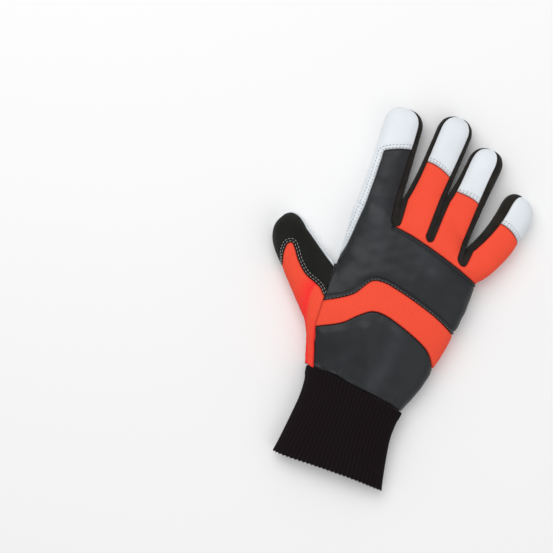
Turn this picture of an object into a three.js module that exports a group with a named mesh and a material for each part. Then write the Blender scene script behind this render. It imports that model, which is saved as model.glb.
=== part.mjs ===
// A right-hand chainsaw glove, lying palm down: leather palm, cloth and leather back, knitted cuff.
// Millimetres. +Y points to the fingertips, +X to the little finger and +Z out of the back.
import * as THREE from 'three';

// Driving sizes of the hand
const palmWidth = 104;
const palmLength = 115;
const palmHeight = 28;
const wristHeight = 23;
const thumbShaft = 52.5;
const thumbTip = 20;
const thumbWidth = 31;
const thumbHeight = 22;
const fingerLength = 95.5;
const fingerWidth = 26.6;
const fingerHeight = 19.5;
const tipLength = 14;
const cuffLength = 64.5;
const cuffEdgeSlope = 0.02;
const cuffWidth = 77;
const cuffHeight = 22;
const ribPitch = 3.2;
const ribDepth = 0.8;

// Walls and clearances
const leatherWall = 1.6;
const clothWall = 1.3;
const knitWall = 2.4;
const padWall = 4;
const padProud = 2.3;
const seamGap = 0.44;

// One row for each finger, from the index: its length, its width and the widths of the side strips seen
// from the back, to the left and to the right, as shares of the middle finger's length and width; the
// lean of its tip and its bow as shares of its own width; where it starts and ends across the knuckles,
// from -1 (index) to +1 (little finger); and where the cap's seam crosses its sides, as shares of its
// own length.
const fingerTable = [
  { name: 'index', length: 0.895, width: 1.113, lean: -0.13, bow: 0.03, from: -1, to: -0.36,
    bandLeft: 0.207, bandRight: 0.15, capLeft: 0.55, capRight: 0.655 },
  { name: 'middle', length: 1, width: 1, lean: 0.21, bow: 0, from: -0.36, to: 0.14,
    bandLeft: 0.105, bandRight: 0.135, capLeft: 0.585, capRight: 0.525 },
  { name: 'ring', length: 0.916, width: 0.977, lean: 0.31, bow: -0.02, from: 0.14, to: 0.69,
    bandLeft: 0.113, bandRight: 0.135, capLeft: 0.557, capRight: 0.518 },
  { name: 'little', length: 0.728, width: 0.992, lean: 0.73, bow: 0.15, from: 0.69, to: 1,
    bandLeft: 0.173, bandRight: 0.188, capLeft: 0.595, capRight: 0.585 },
];
const fingers = fingerTable.map((row) => ({
  ...row,
  length: row.length * fingerLength,
  width: row.width * fingerWidth,
  bandLeft: row.bandLeft * fingerWidth,
  bandRight: row.bandRight * fingerWidth,
}));
// The crotch between two neighbours, as shares of the palm's width and length from its middle
const crotches = [
  { across: -0.26, along: 0.613 },
  { across: 0.034, along: 0.735 },
  { across: 0.292, along: 0.457 },
];

// Outline of the palm from the wrist (0) to the knuckles (1), as shares of its width and length
const palmOutline = [
  { step: 0, leftX: -0.462, leftY: -0.61, rightX: 0.257, rightY: -0.69 },
  { step: 0.13, leftX: -0.505, leftY: -0.485, rightX: 0.315, rightY: -0.55 },
  { step: 0.27, leftX: -0.543, leftY: -0.357, rightX: 0.353, rightY: -0.41 },
  { step: 0.42, leftX: -0.553, leftY: -0.174, rightX: 0.399, rightY: -0.217 },
  { step: 0.65, leftX: -0.558, leftY: 0.078, rightX: 0.433, rightY: 0.017 },
  { step: 0.8, leftX: -0.553, leftY: 0.226, rightX: 0.445, rightY: 0.157 },
  { step: 1, leftX: -0.572, leftY: 0.443, rightX: 0.452, rightY: 0.265 },
];
const crotchStep = 0.65;
const knuckleArch = 0.052;
// Where the palm reaches its full height, and the fingers' height at the knuckles as a share of it
const palmGrowStep = 0.45;
const knuckleHeightShare = 0.86;

// Outline of the thumb from the palm (0) to where its tip rounds off, as shares of the palm's width
// and length, on its outer side and its inner side
const thumbOutline = [
  { step: 0, outerX: -0.462, outerY: -0.61, innerX: -0.558, innerY: 0.078 },
  { step: 0.1, outerX: -0.519, outerY: -0.578, innerX: -0.577, innerY: 0.087 },
  { step: 0.25, outerX: -0.585, outerY: -0.43, innerX: -0.606, innerY: 0.1 },
  { step: 0.4, outerX: -0.639, outerY: -0.33, innerX: -0.644, innerY: 0.122 },
];
// Height of the ridge where the thumb leaves the palm, as a share of the palm's own height
const thumbRootHeight = 0.82;
const thumbRootStep = 0.4;
const thumbTipStep = 0.8;
const thumbTurnDeg = 43;
const thumbRowDeg = 59;

// Edges of the two dark patches on the back: where the orange band starts and ends along the palm
const bandEdges = [
  { across: -1, lower: 0.27, upper: 0.412 },
  { across: -0.6, lower: 0.345, upper: 0.512 },
  { across: -0.43, lower: 0.402, upper: 0.615 },
  { across: -0.25, lower: 0.455, upper: 0.637 },
  { across: -0.05, lower: 0.462, upper: 0.629 },
  { across: 0.2, lower: 0.438, upper: 0.612 },
  { across: 0.6, lower: 0.382, upper: 0.578 },
  { across: 1, lower: 0.311, upper: 0.523 },
];
const knuckleSeamStep = 0.972;
const padTopStep = 0.955;
const indexStripStep = 0.7;
const backWrap = 0.11;
const padInset = 0.03;

// The seam between the thumb's orange gusset and its dark back, across the thumb from -1 (outer) to 1
const thumbSeam = [
  { step: 0, across: 0.37, edge: -1.2 },
  { step: 0.25, across: 0.2, edge: -1.2 },
  { step: 0.4, across: 0.05, edge: -1.2 },
  { step: 0.55, across: -0.18, edge: -1.2 },
  { step: 0.72, across: -0.21, edge: -1 },
  { step: 0.8, across: -0.26, edge: -0.36 },
];
const thumbUnderEdge = -1.2;
const thumbInnerEdge = 0.95;
// The seam between the palm pad and the thumb's palm, across the palm
const padSeam = [
  { step: 0, across: -0.78 },
  { step: 0.3, across: -0.7 },
  { step: 0.5, across: -0.74 },
  { step: 0.65, across: -0.9 },
];

// Outline of the cuff from the wrist (0) down to its free edge (1), as shares of its width and length
const cuffOutline = [
  { step: 0, left: -0.515, right: 0.5, height: 1 },
  { step: 0.15, left: -0.492, right: 0.475, height: 0.93 },
  { step: 0.35, left: -0.5, right: 0.472, height: 0.9 },
  { step: 0.65, left: -0.525, right: 0.507, height: 0.86 },
  { step: 0.9, left: -0.553, right: 0.547, height: 0.8 },
  { step: 1, left: -0.568, right: 0.568, height: 0.74 },
];
const cuffRows = [0, 0.14, 0.35, 0.7, 1];
// How far the cuff's free edge lies above the surface, and how much longer its squarish section is
// than an ellipse of the same width and height
const cuffLift = 1;
const cuffFullness = 1.08;

// How square the sections are
const topPower = 2.5;
const palmPower = 3.2;
const tipPower = 2.3;
// The middle plane of the palm, fingers and thumb tip, as a share of their height
const middleShare = 0.44;
const fingerMiddleShare = 0.48;
// How far the soft underside would sag if nothing held it up, as a share of the height
const sagShare = 0.1;

const mix = (a, b, t) => a + (b - a) * t;
const clamp01 = (t) => Math.min(1, Math.max(0, t));
const smooth = (t) => clamp01(t) ** 2 * (3 - 2 * clamp01(t));
const mixPoint = (a, b, t) => ({ x: mix(a.x, b.x, t), y: mix(a.y, b.y, t) });
const arc = (t, power) => Math.max(0, 1 - Math.abs(t) ** power) ** (1 / power);
// A line of a grid is a number, or gives one for a place on the other axis
const valueAt = (line, place) => (typeof line === 'function' ? line(place) : line);

// Smooth value of one column of a table at a step, by a cubic through its rows
function lookUp(table, column, key, at) {
  let row = 0;
  while (row < table.length - 2 && at > table[row + 1][key]) row += 1;
  const before = table[Math.max(0, row - 1)];
  const start = table[row];
  const end = table[row + 1];
  const after = table[Math.min(table.length - 1, row + 2)];
  const span = end[key] - start[key];
  const t = clamp01((at - start[key]) / span);
  const slopeIn = (end[column] - before[column]) / (end[key] - before[key]) * span;
  const slopeOut = (after[column] - start[column]) / (after[key] - start[key]) * span;
  const rise = end[column] - start[column];
  return start[column] + t * slopeIn
    + t * t * (3 * rise - 2 * slopeIn - slopeOut)
    + t * t * t * (slopeIn + slopeOut - 2 * rise);
}

const atPalm = (across, along) => ({ x: across * palmWidth, y: along * palmLength });
const palmMiddle = palmHeight * middleShare;
const wristMiddle = wristHeight * middleShare;
const fingerMiddle = fingerHeight * fingerMiddleShare;

// The palm: heights of its section at a step
function palmSection(step) {
  const grow = smooth(step / palmGrowStep);
  const middle = mix(wristMiddle, palmMiddle, grow);
  const top = mix(wristHeight, palmHeight, grow) - middle;
  return { middle, top };
}

function thumbRootShare(step) {
  const along = 2 * step / crotchStep - 1;
  return step < crotchStep ? thumbRootHeight * arc(along, topPower) : 0;
}

function palmPlan(across, step) {
  const left = atPalm(
    lookUp(palmOutline, 'leftX', 'step', step),
    lookUp(palmOutline, 'leftY', 'step', step),
  );
  const right = atPalm(
    lookUp(palmOutline, 'rightX', 'step', step),
    lookUp(palmOutline, 'rightY', 'step', step),
  );
  const place = mixPoint(left, right, (1 + across) / 2);
  place.y += knuckleArch * palmLength * (1 - across * across) * step * step;
  return place;
}

// Height above or below the middle for a section that the thumb's root keeps open at its left edge
function openArc(across, power, rootShare) {
  const closed = across < 0 ? 1 - rootShare ** power : 1;
  return Math.max(0, 1 - closed * Math.abs(across) ** power) ** (1 / power);
}

function flatUnder(middle, depth) {
  return Math.max(padProud, middle - depth);
}

function palmHeightAt(across, step, side) {
  const section = palmSection(step);
  const root = thumbRootShare(step);
  if (side > 0) return section.middle + section.top * openArc(across, topPower, root);
  const depth = section.middle * (1 + sagShare) * openArc(across, palmPower, root);
  return flatUnder(section.middle, depth);
}

const palmBlock = (across, step, side) => {
  const place = palmPlan(across, step);
  return new THREE.Vector3(place.x, place.y, palmHeightAt(across, step, side));
};

// Where a finger's side starts to be its own, as a share of its length
function crotchShare(finger, crotch) {
  const root = palmPlan((finger.from + finger.to) / 2, 1);
  return (crotch.along * palmLength - root.y) / finger.length;
}

// Everything about a finger that its sizes give
function layOutFinger(finger, number) {
  const root = palmPlan((finger.from + finger.to) / 2, 1);
  const tip = { x: root.x + finger.lean * finger.width, y: root.y + finger.length };
  const reach = Math.hypot(tip.x - root.x, tip.y - root.y);
  const sideways = { x: (tip.y - root.y) / reach, y: -(tip.x - root.x) / reach };
  const left = number > 0 ? crotches[number - 1] : null;
  const right = number < 3 ? crotches[number] : null;
  const leftShare = crotchShare(finger, left ?? right);
  const rightShare = crotchShare(finger, right ?? left);
  return { ...finger, root, tip, sideways, left, right, leftShare, rightShare,
    tipShare: 1 - tipLength / finger.length };
}
const laidOut = fingers.map(layOutFinger);

// A level runs along a finger: 0 to 1 beside the webs, 1 to 2 along the shaft, 2 to 3 round the tip
function shareAt(finger, side, level) {
  const start = side < 0 ? finger.leftShare : finger.rightShare;
  if (level < 1) return start * level;
  if (level < 2) return mix(start, finger.tipShare, level - 1);
  return mix(finger.tipShare, 1, level - 2);
}

function levelAt(finger, side, share) {
  const start = side < 0 ? finger.leftShare : finger.rightShare;
  return 1 + (share - start) / (finger.tipShare - start);
}

// A side of the finger at a share of its length, before it is led to the crotch
function ownSide(finger, side, share) {
  const past = clamp01((share - finger.tipShare) / (1 - finger.tipShare));
  const half = finger.width / 2 * arc(past, tipPower);
  const bow = finger.bow * finger.width * 4 * share * (1 - share);
  const middle = mixPoint(finger.root, finger.tip, share);
  const out = side * half + bow;
  return { x: middle.x + out * finger.sideways.x, y: middle.y + out * finger.sideways.y };
}

function fingerSide(finger, side, level) {
  const crotch = side < 0 ? finger.left : finger.right;
  const corner = palmPlan(side < 0 ? finger.from : finger.to, 1);
  const meet = crotch ? atPalm(crotch.across, crotch.along) : null;
  if (meet && level < 1) return mixPoint(corner, meet, level);
  const share = shareAt(finger, side, level);
  const own = ownSide(finger, side, share);
  const startShare = meet ? shareAt(finger, side, 1) : 0;
  const start = ownSide(finger, side, startShare);
  const target = meet ?? corner;
  const fade = (1 - clamp01((share - startShare) / (1 - startShare))) ** 5;
  return { x: own.x + (target.x - start.x) * fade, y: own.y + (target.y - start.y) * fade };
}

const webStart = 0.25;

function fingerBlock(finger) {
  return (across, level, side) => {
    const left = fingerSide(finger, -1, level);
    const right = fingerSide(finger, 1, level);
    const place = mixPoint(left, right, (1 + across) / 2);
    const share = mix(shareAt(finger, -1, level), shareAt(finger, 1, level), (1 + across) / 2);
    const knuckle = mix(finger.from, finger.to, (1 + across) / 2);
    const arched = palmPlan(knuckle, 1);
    const chord = mixPoint(palmPlan(finger.from, 1), palmPlan(finger.to, 1), (1 + across) / 2);
    const fade = (1 - clamp01(level)) ** 3;
    place.x += (arched.x - chord.x) * fade;
    place.y += (arched.y - chord.y) * fade;
    const free = side > 0 ? smooth(level) : smooth((level - webStart) / (1 - webStart));
    const past = clamp01((share - finger.tipShare) / (1 - finger.tipShare));
    const round = arc(past, tipPower);
    const middle = mix(palmMiddle, fingerMiddle, smooth(level / 2));
    const height = mix(palmHeight * knuckleHeightShare, fingerHeight, smooth(level));
    const top = (height - middle) * round * arc(across, topPower);
    const depth = middle * (1 + sagShare) * round * arc(across, palmPower);
    const floor = mix(padProud, 0, smooth(level - 1));
    const own = side > 0 ? middle + top : Math.max(floor, middle - depth);
    const shared = palmHeightAt(knuckle, 1, side) - palmMiddle + middle;
    return new THREE.Vector3(place.x, place.y, Math.max(floor, mix(shared, own, free)));
  };
}

// The thumb: a fan of rows from the palm's edge to the round tip
const thumbTurn = THREE.MathUtils.degToRad(thumbTurnDeg);
const thumbAhead = { x: -Math.sin(thumbTurn), y: Math.cos(thumbTurn) };

function thumbEdge(side, step) {
  const column = side < 0 ? 'outer' : 'inner';
  const at = Math.min(step, thumbRootStep);
  const rooted = atPalm(
    lookUp(thumbOutline, `${column}X`, 'step', at),
    lookUp(thumbOutline, `${column}Y`, 'step', at),
  );
  if (step <= thumbRootStep) return rooted;
  const other = thumbShaftStart();
  const on = (step - thumbRootStep) / (thumbTipStep - thumbRootStep);
  const shaftEnd = side < 0 ? other.outer : other.inner;
  if (step <= thumbTipStep) return mixPoint(rooted, shaftEnd, on);
  const past = (step - thumbTipStep) / (1 - thumbTipStep);
  const centre = mixPoint(other.outer, other.inner, 0.5);
  const half = arc(past, tipPower);
  const ahead = past * thumbTip;
  return {
    x: centre.x + thumbAhead.x * ahead + (shaftEnd.x - centre.x) * half,
    y: centre.y + thumbAhead.y * ahead + (shaftEnd.y - centre.y) * half,
  };
}

// The two ends of the row where the tip starts to round off
function thumbShaftStart() {
  const outer = atPalm(
    lookUp(thumbOutline, 'outerX', 'step', thumbRootStep),
    lookUp(thumbOutline, 'outerY', 'step', thumbRootStep),
  );
  const end = { x: outer.x + thumbAhead.x * thumbShaft, y: outer.y + thumbAhead.y * thumbShaft };
  const row = THREE.MathUtils.degToRad(thumbRowDeg);
  const inner = { x: end.x + thumbWidth * Math.cos(row), y: end.y + thumbWidth * Math.sin(row) };
  return { outer: end, inner };
}

const thumbBlock = (across, step, side) => {
  const outer = thumbEdge(-1, step);
  const inner = thumbEdge(1, step);
  const place = mixPoint(outer, inner, (1 + across) / 2);
  const seamStep = crotchStep * (1 + across) / 2;
  const rooted = palmPlan(-1, seamStep);
  const chord = mixPoint(thumbEdge(-1, 0), thumbEdge(1, 0), (1 + across) / 2);
  const fade = (1 - clamp01(step / thumbRootStep)) ** 2;
  place.x += (rooted.x - chord.x) * fade;
  place.y += (rooted.y - chord.y) * fade;
  const past = clamp01((step - thumbTipStep) / (1 - thumbTipStep));
  const round = arc(past, tipPower);
  const grown = smooth(step / thumbRootStep);
  const rootSection = palmSection(seamStep);
  const middle = mix(rootSection.middle, thumbHeight * middleShare, smooth(step));
  const top = (thumbHeight - middle) * round * arc(across, topPower);
  const depth = middle * (1 + sagShare) * round * arc(across, palmPower);
  const floor = mix(padProud, 0, grown);
  const own = side > 0 ? middle + top : middle - depth;
  const shared = palmHeightAt(-1, seamStep, side) - rootSection.middle + middle;
  return new THREE.Vector3(place.x, place.y, Math.max(floor, mix(shared, own, grown)));
};

// A place on a block: going past an edge at -1 or +1 turns round it onto the other face
function onBlock(block, side, across, along) {
  if (across > 1) return block(2 - across, along, -side);
  if (across < -1) return block(-2 - across, along, -side);
  return block(across, along, side);
}

const probeAcross = 0.05;
const probeAlong = 0.012;
// Where the two faces are further apart than this at an edge, the block goes on past it
const openEdge = 0.5;

// A place on a block with its outward direction, from small steps to its neighbours
function site(block, side, across, along, topAlong, lift) {
  const at = onBlock(block, side, across, along);
  const low = Math.max(0, along - probeAlong);
  const high = Math.min(topAlong, along + probeAlong);
  const run = onBlock(block, side, across, high).sub(onBlock(block, side, across, low));
  const edge = Math.sign(across);
  const open = block(edge, along, 1).z - block(edge, along, -1).z > openEdge;
  const reach = (to) => (open && Math.abs(across) <= 1 && Math.abs(to) > 1 ? edge : to);
  const over = onBlock(block, side, reach(across + probeAcross), along)
    .sub(onBlock(block, side, reach(across - probeAcross), along));
  const axis = block(0, along, 1).setZ((block(0, along, 1).z + block(0, along, -1).z) / 2);
  const out = over.cross(run).normalize();
  const away = at.clone().sub(axis);
  if (out.dot(away) < 0) out.negate();
  if (run.length() < 1e-6 || out.lengthSq() < 0.5) out.copy(away.normalize());
  return { at: at.addScaledVector(out, lift), out };
}

// A patch is a grid of places. A row is how far along it lies, or gives that for a place across;
// a column is how far across it lies, or gives that for a place along.
function patch(block, side, rows, columns, options = {}) {
  const topAlong = options.topAlong ?? 1;
  const lift = options.lift ?? 0;
  return rows.map((row) => columns.map((column) => {
    const start = valueAt(column, valueAt(row, 0));
    const across = valueAt(column, valueAt(row, start));
    return site(block, side, across, valueAt(row, across), topAlong, lift);
  }));
}

// Places closer together than this are one, in millimetres, and how far a sharp corner's rim may draw back
const weldSize = 0.002;
const sharpestMitre = 0.5;

// A wall from patches that share places: outer face, inner face and the rim between them
function wallGeometry(patches, thickness) {
  const places = [];
  const known = new Map();
  const idOf = ({ at, out }) => {
    const key = at.toArray().map((value) => Math.round(value / weldSize)).join(' ');
    if (!known.has(key)) {
      known.set(key, places.length);
      places.push({ at: at.clone(), out: new THREE.Vector3() });
    }
    const id = known.get(key);
    places[id].out.add(out);
    return id;
  };
  const faces = [];
  for (const grid of patches) {
    const ids = grid.map((row) => row.map(idOf));
    const own = [];
    let facing = 0;
    for (let row = 0; row + 1 < ids.length; row += 1) {
      for (let column = 0; column + 1 < ids[row].length; column += 1) {
        const [low, high] = [ids[row], ids[row + 1]];
        const corners = [low[column], low[column + 1], high[column + 1], high[column]];
        for (const face of [[0, 1, 2], [0, 2, 3]]) {
          const [a, b, c] = face.map((corner) => corners[corner]);
          if (a === b || b === c || c === a) continue;
          own.push([a, b, c]);
          facing += new THREE.Triangle(places[a].at, places[b].at, places[c].at)
            .getNormal(new THREE.Vector3()).dot(places[a].out.clone().normalize());
        }
      }
    }
    faces.push(...own.map(([a, b, c]) => (facing < 0 ? [a, c, b] : [a, b, c])));
  }
  for (const place of places) place.out.normalize();

  // Rim edges are those that only one face uses
  const edges = new Map();
  for (const face of faces) {
    for (let corner = 0; corner < 3; corner += 1) {
      edges.set(`${face[corner]} ${face[(corner + 1) % 3]}`, [face[corner], face[(corner + 1) % 3]]);
    }
  }
  const rim = [...edges.values()].filter(([a, b]) => !edges.has(`${b} ${a}`));

  // The rim draws back by half the seam's gap, square to its edges
  const inward = new Map();
  for (const [a, b] of rim) {
    const along = places[b].at.clone().sub(places[a].at);
    for (const id of [a, b]) {
      const square = new THREE.Vector3().crossVectors(places[id].out, along).normalize();
      if (!inward.has(id)) inward.set(id, []);
      inward.get(id).push(square);
    }
  }
  for (const [id, squares] of inward) {
    const sum = squares.reduce((total, square) => total.add(square), new THREE.Vector3()).normalize();
    const mitre = Math.max(sharpestMitre, sum.dot(squares[0]));
    places[id].at.addScaledVector(sum, seamGap / 2 / mitre);
  }

  const count = places.length;
  const positions = [
    ...places.flatMap(({ at }) => at.toArray()),
    ...places.flatMap(({ at, out }) => at.clone().addScaledVector(out, -thickness).toArray()),
  ];
  const index = [
    ...faces.flat(),
    ...faces.flatMap(([a, b, c]) => [a + count, c + count, b + count]),
    ...rim.flatMap(([a, b]) => [b, a, a + count, b, a + count, b + count]),
  ];
  const geometry = new THREE.BufferGeometry();
  geometry.setAttribute('position', new THREE.Float32BufferAttribute(positions, 3));
  geometry.setIndex(index);
  return geometry;
}

const glove = new THREE.Group();
const looks = {
  whiteLeather: { color: 0xdde3ea, roughness: 0.6 },
  darkLeather: { color: 0x303236, roughness: 0.45 },
  darkSuede: { color: 0x1c1b18, roughness: 0.9 },
  orangeCloth: { color: 0xff5037, roughness: 0.85 },
  sideCloth: { color: 0x2a2623, roughness: 0.9 },
  knit: { color: 0x181214, roughness: 0.95 },
};

function addMesh(name, geometry, look) {
  geometry.computeVertexNormals();
  const material = new THREE.MeshStandardMaterial({ ...looks[look], metalness: 0 });
  const mesh = new THREE.Mesh(geometry, material);
  mesh.name = name;
  glove.add(mesh);
}

const addWall = (name, patches, thickness, look) => addMesh(name, wallGeometry(patches, thickness), look);

// Columns from one edge to another, closer together near the sides
const spread = [-1, -0.88, -0.5, 0, 0.5, 0.88, 1];
const between = (from, to, marks = spread) => marks.map((mark) => (along) => (
  mix(valueAt(from, along), valueAt(to, along), (1 + mark) / 2)
));

// Rows along a finger
const tongueStart = 0.03;
const backTongueEnd = 0.28;
const palmTongueEnd = 0.48;
const webRowsTop = [0, tongueStart, 0.1, backTongueEnd, 0.6, 1];
const webRowsPalm = [webStart, webStart + tongueStart, 0.33, palmTongueEnd, 0.74, 1];
const shaftRows = [1.33, 1.67, 2];
const tipRows = [2.35, 2.62, 2.82, 2.94, 2.99];
const fingerTop = 3;

// The edge of the back panel and of the palm panel: the side strip starts as a rounded tongue
function tongue(level, start, end) {
  const past = clamp01((level - start) / (end - start));
  return Math.sqrt(1 - (1 - past) ** 2);
}
const backEdge = (band, finger) => (level) => (
  1 - 2 * band / finger.width * tongue(level, 0, backTongueEnd)
);
// The strips take the same share of half the width from every finger's palm side
const palmStrip = 0.3;
const palmEdge = (level) => 1 - palmStrip * tongue(level, webStart, palmTongueEnd);

function capLevel(finger) {
  const left = levelAt(finger, -1, finger.capLeft);
  const right = levelAt(finger, 1, finger.capRight);
  return (across) => mix(left, right, (1 + across) / 2);
}

const otherMarks = [-0.88, -0.5, 0, 0.5, 0.88, 1];
const littleMarks = [-0.6, -0.1, 0.5, 0.9, 1];
const stripFinger = -1 + 2 * fingers[0].bandLeft / fingers[0].width;
const indexMarks = spread.map((mark) => mix(stripFinger, 1, (1 + mark) / 2));
// The little finger's and the hand's outer panels turn round the edge by this share of their wrap first
const wrapMiddle = 0.4;
const littleWrap = (level) => {
  const little = fingers[3];
  return mix(2 * backWrap / (little.to - little.from), 2 * little.bandRight / little.width, smooth(level));
};

// Back panels of a finger: a cloth shaft up to the cap's seam, and the cap over the tip
function backColumns(finger, number) {
  const right = backEdge(finger.bandRight, finger);
  const left = backEdge(finger.bandLeft, finger);
  if (number === 0) return between(stripFinger, right);
  if (number === 3) {
    const over = between((level) => -left(level), 1, [-1, ...littleMarks]);
    return [...over, (level) => 1 + wrapMiddle * littleWrap(level), (level) => 1 + littleWrap(level)];
  }
  return between((level) => -left(level), right);
}

const scaled = (cap, start, shares) => shares.map((share) => (across) => mix(start, cap(across), share));

function shaftPatch(finger, number) {
  const cap = capLevel(finger);
  const columns = backColumns(finger, number);
  const rows = [...webRowsTop, ...scaled(cap, 1, [0.35, 0.7, 1])];
  return patch(fingerBlock(finger), 1, rows, columns, { topAlong: fingerTop });
}

function capPatch(finger, columns) {
  const cap = capLevel(finger);
  const rows = [...scaled(cap, 2, [1, 0.5, 0]), ...tipRows, fingerTop];
  return patch(fingerBlock(finger), 1, rows, columns, { topAlong: fingerTop });
}

// Knuckle columns that the palm's panels share with a finger's own columns at its root
const knuckleMarks = (finger, marks) => marks.map((mark) => mix(finger.from, finger.to, (1 + mark) / 2));
const bandStep = (column) => (across) => lookUp(bandEdges, column, 'across', Math.min(1, across));

const rowsBetween = (from, to, shares) => shares.map((share) => (across) => (
  mix(valueAt(from, across), valueAt(to, across), share)
));

const stripMiddle = 0.3;
const stripSteps = [0, stripMiddle, 0.62].map((share) => mix(indexStripStep, 1, share));
const stripKnuckle = mix(fingers[0].from, fingers[0].to, (1 + stripFinger) / 2);
const stripEdge = (step) => {
  const along = clamp01((step - indexStripStep) / (1 - indexStripStep));
  return -1 + (stripKnuckle + 1) * along;
};
const backAcross = [
  ...knuckleMarks(laidOut[0], indexMarks),
  ...knuckleMarks(laidOut[1], otherMarks),
  ...knuckleMarks(laidOut[2], otherMarks),
  ...knuckleMarks(laidOut[3], littleMarks),
  1 + backWrap * wrapMiddle,
  1 + backWrap,
];
// On the lower back the same columns spread out to the seam with the thumb
const lowerAcross = backAcross.map((across) => {
  const share = clamp01((1 - across) / (1 - stripKnuckle));
  return across > 1 ? across : mix(1, -1, share);
});

function upperAcross(across) {
  return (step) => {
    if (across > 1) return across;
    const left = step < indexStripStep ? -1 : stripEdge(step);
    const share = (1 - across) / (1 - stripKnuckle);
    return mix(1, left, share);
  };
}

function addBack() {
  const lowerStep = bandStep('lower');
  const upperStep = bandStep('upper');
  addWall('lower_patch', [
    patch(palmBlock, 1, rowsBetween(0, lowerStep, [0, 0.08, 0.25, 0.52, 0.9, 1]), lowerAcross),
  ], leatherWall, 'darkLeather');
  addWall('orange_band', [
    patch(palmBlock, 1, rowsBetween(lowerStep, upperStep, [0, 0.33, 0.67, 1]), lowerAcross),
  ], clothWall, 'orangeCloth');
  const index = laidOut[0];
  const upperRows = [
    upperStep,
    (across) => mix(upperStep(across), indexStripStep, 0.5),
    ...[...stripSteps, knuckleSeamStep].map((step) => () => step),
  ];
  const upperGrid = upperRows.map((row) => backAcross.map((across, column) => {
    const step = row(lowerAcross[column]);
    return site(palmBlock, 1, upperAcross(across)(step), step, 1, 0);
  }));
  const indexEnd = indexMarks.length;
  const toKnuckle = [knuckleSeamStep, 1].map((step) => backAcross.slice(0, indexEnd)
    .map((across) => site(palmBlock, 1, upperAcross(across)(step), step, 1, 0)));
  addWall('upper_patch', [upperGrid, toKnuckle, shaftPatch(index, 0)], leatherWall, 'darkLeather');
  const strip = [knuckleSeamStep, 1].map((step) => backAcross.slice(indexEnd - 1)
    .map((across) => site(palmBlock, 1, across, step, 1, 0)));
  addWall('finger_backs', [
    strip, shaftPatch(laidOut[1], 1), shaftPatch(laidOut[2], 2), shaftPatch(laidOut[3], 3),
  ], clothWall, 'orangeCloth');
  laidOut.forEach((finger, number) => {
    if (number === 0) return;
    const cap = capPatch(finger, backColumns(finger, number));
    addWall(`${finger.name}_cap`, [cap], leatherWall, 'whiteLeather');
  });
}

// The two sides of a web and the fingers beside it, joined under the crotch
function addFourchettes() {
  const names = ['index_middle_fourchette', 'middle_ring_fourchette', 'ring_little_fourchette'];
  names.forEach((name, number) => {
    const pair = [[laidOut[number], 1], [laidOut[number + 1], -1]];
    const patches = pair.flatMap(([finger, side]) => {
      const band = side > 0 ? finger.bandRight : finger.bandLeft;
      const back = (level) => side * backEdge(band, finger)(level);
      const palm = (level) => side * palmEdge(level);
      const marks = [-1, 0.1, 1];
      const block = fingerBlock(finger);
      const after = [...shaftRows, ...tipRows];
      const backRows = [...webRowsTop.slice(1), ...after];
      const palmRows = [...webRowsPalm.slice(1), ...after];
      return [
        patch(block, 1, backRows, between(back, side, marks), { topAlong: fingerTop }),
        patch(block, -1, palmRows, between(palm, side, marks), { topAlong: fingerTop }),
      ];
    });
    addWall(name, patches, clothWall, 'sideCloth');
  });
}

// Palm leather: the palm side of four fingers, and the index's outer side rolled onto the back
function addPalmLeather() {
  const patches = [];
  const index = laidOut[0];
  const cap = capLevel(index);
  const indexRows = [...scaled(cap, 1, [0.35, 0.7, 1]), ...scaled(cap, 2, [0.5, 0])];
  laidOut.forEach((finger, number) => {
    const left = number === 0 ? -1 : (level) => -palmEdge(level);
    const right = number === 3 ? (level) => 1 - littleWrap(level) : palmEdge;
    const rows = [0, ...webRowsPalm, ...(number === 0 ? indexRows : shaftRows), ...tipRows, fingerTop];
    patches.push(patch(fingerBlock(finger), -1, rows, between(left, right), { topAlong: fingerTop }));
    const end = number === 3 ? 1 - littleWrap(0) : 1;
    const marks = spread.map((mark) => mix(-1, end, (1 + mark) / 2));
    patches.push(patch(palmBlock, -1, [padTopStep, 1], knuckleMarks(finger, marks)));
  });
  const stripMarks = [-1, mix(-1, stripFinger, stripMiddle), stripFinger];
  const block = fingerBlock(index);
  const stripRows = [0, ...webRowsPalm, ...scaled(cap, 1, [0.35, 0.7, 1])];
  patches.push(patch(block, 1, stripRows, stripMarks, { topAlong: fingerTop }));
  const right = backEdge(index.bandRight, index);
  patches.push(capPatch(index, [...stripMarks.slice(0, 2), ...between(stripFinger, right)]));
  const besidePad = (step) => (step < padTopStep ? -1 - padInset : -1);
  const handStrip = [besidePad, -1, (step) => mix(-1, stripEdge(step), stripMiddle), stripEdge];
  patches.push(patch(palmBlock, 1, [...stripSteps, padTopStep, 1], handStrip));
  addWall('palm_leather', patches, leatherWall, 'whiteLeather');
}

// Quilted pad over the palm, thicker than the leather and proud of it
function addPad() {
  const left = (step) => (step > crotchStep ? padInset - 1 : lookUp(padSeam, 'across', 'step', step));
  const marks = [-1, -0.9, -0.7, -0.4, -0.1, 0.2, 0.5, 0.75, 0.9, 1];
  const rows = [0, ballSteps[0] / 2, ...ballSteps, 0.75, 0.87, padTopStep];
  const grid = patch(palmBlock, -1, rows, between(left, 1 - backWrap, marks), { lift: padProud });
  addWall('palm_pad', [grid], padWall, 'whiteLeather');
}

const seamAcross = (step) => lookUp(thumbSeam, 'across', 'step', step);
const gussetEdge = (step) => lookUp(thumbSeam, 'edge', 'step', step);
const thumbMarks = [-1, -0.7, -0.2, 0.35, 0.8, 1];
const thumbSteps = [0, 0.1, 0.2, 0.3, 0.4, 0.55, 0.64, 0.72, 0.76, 0.8];
const palmMarks = [-1, -0.6, -0.15, 0.3, 0.7, 0.93, 1];
const underThumb = palmMarks.map((mark) => mix(-2 - thumbUnderEdge, 1, (1 + mark) / 2));
const ballSteps = underThumb.map((across) => crotchStep * (1 + across) / 2);

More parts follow.
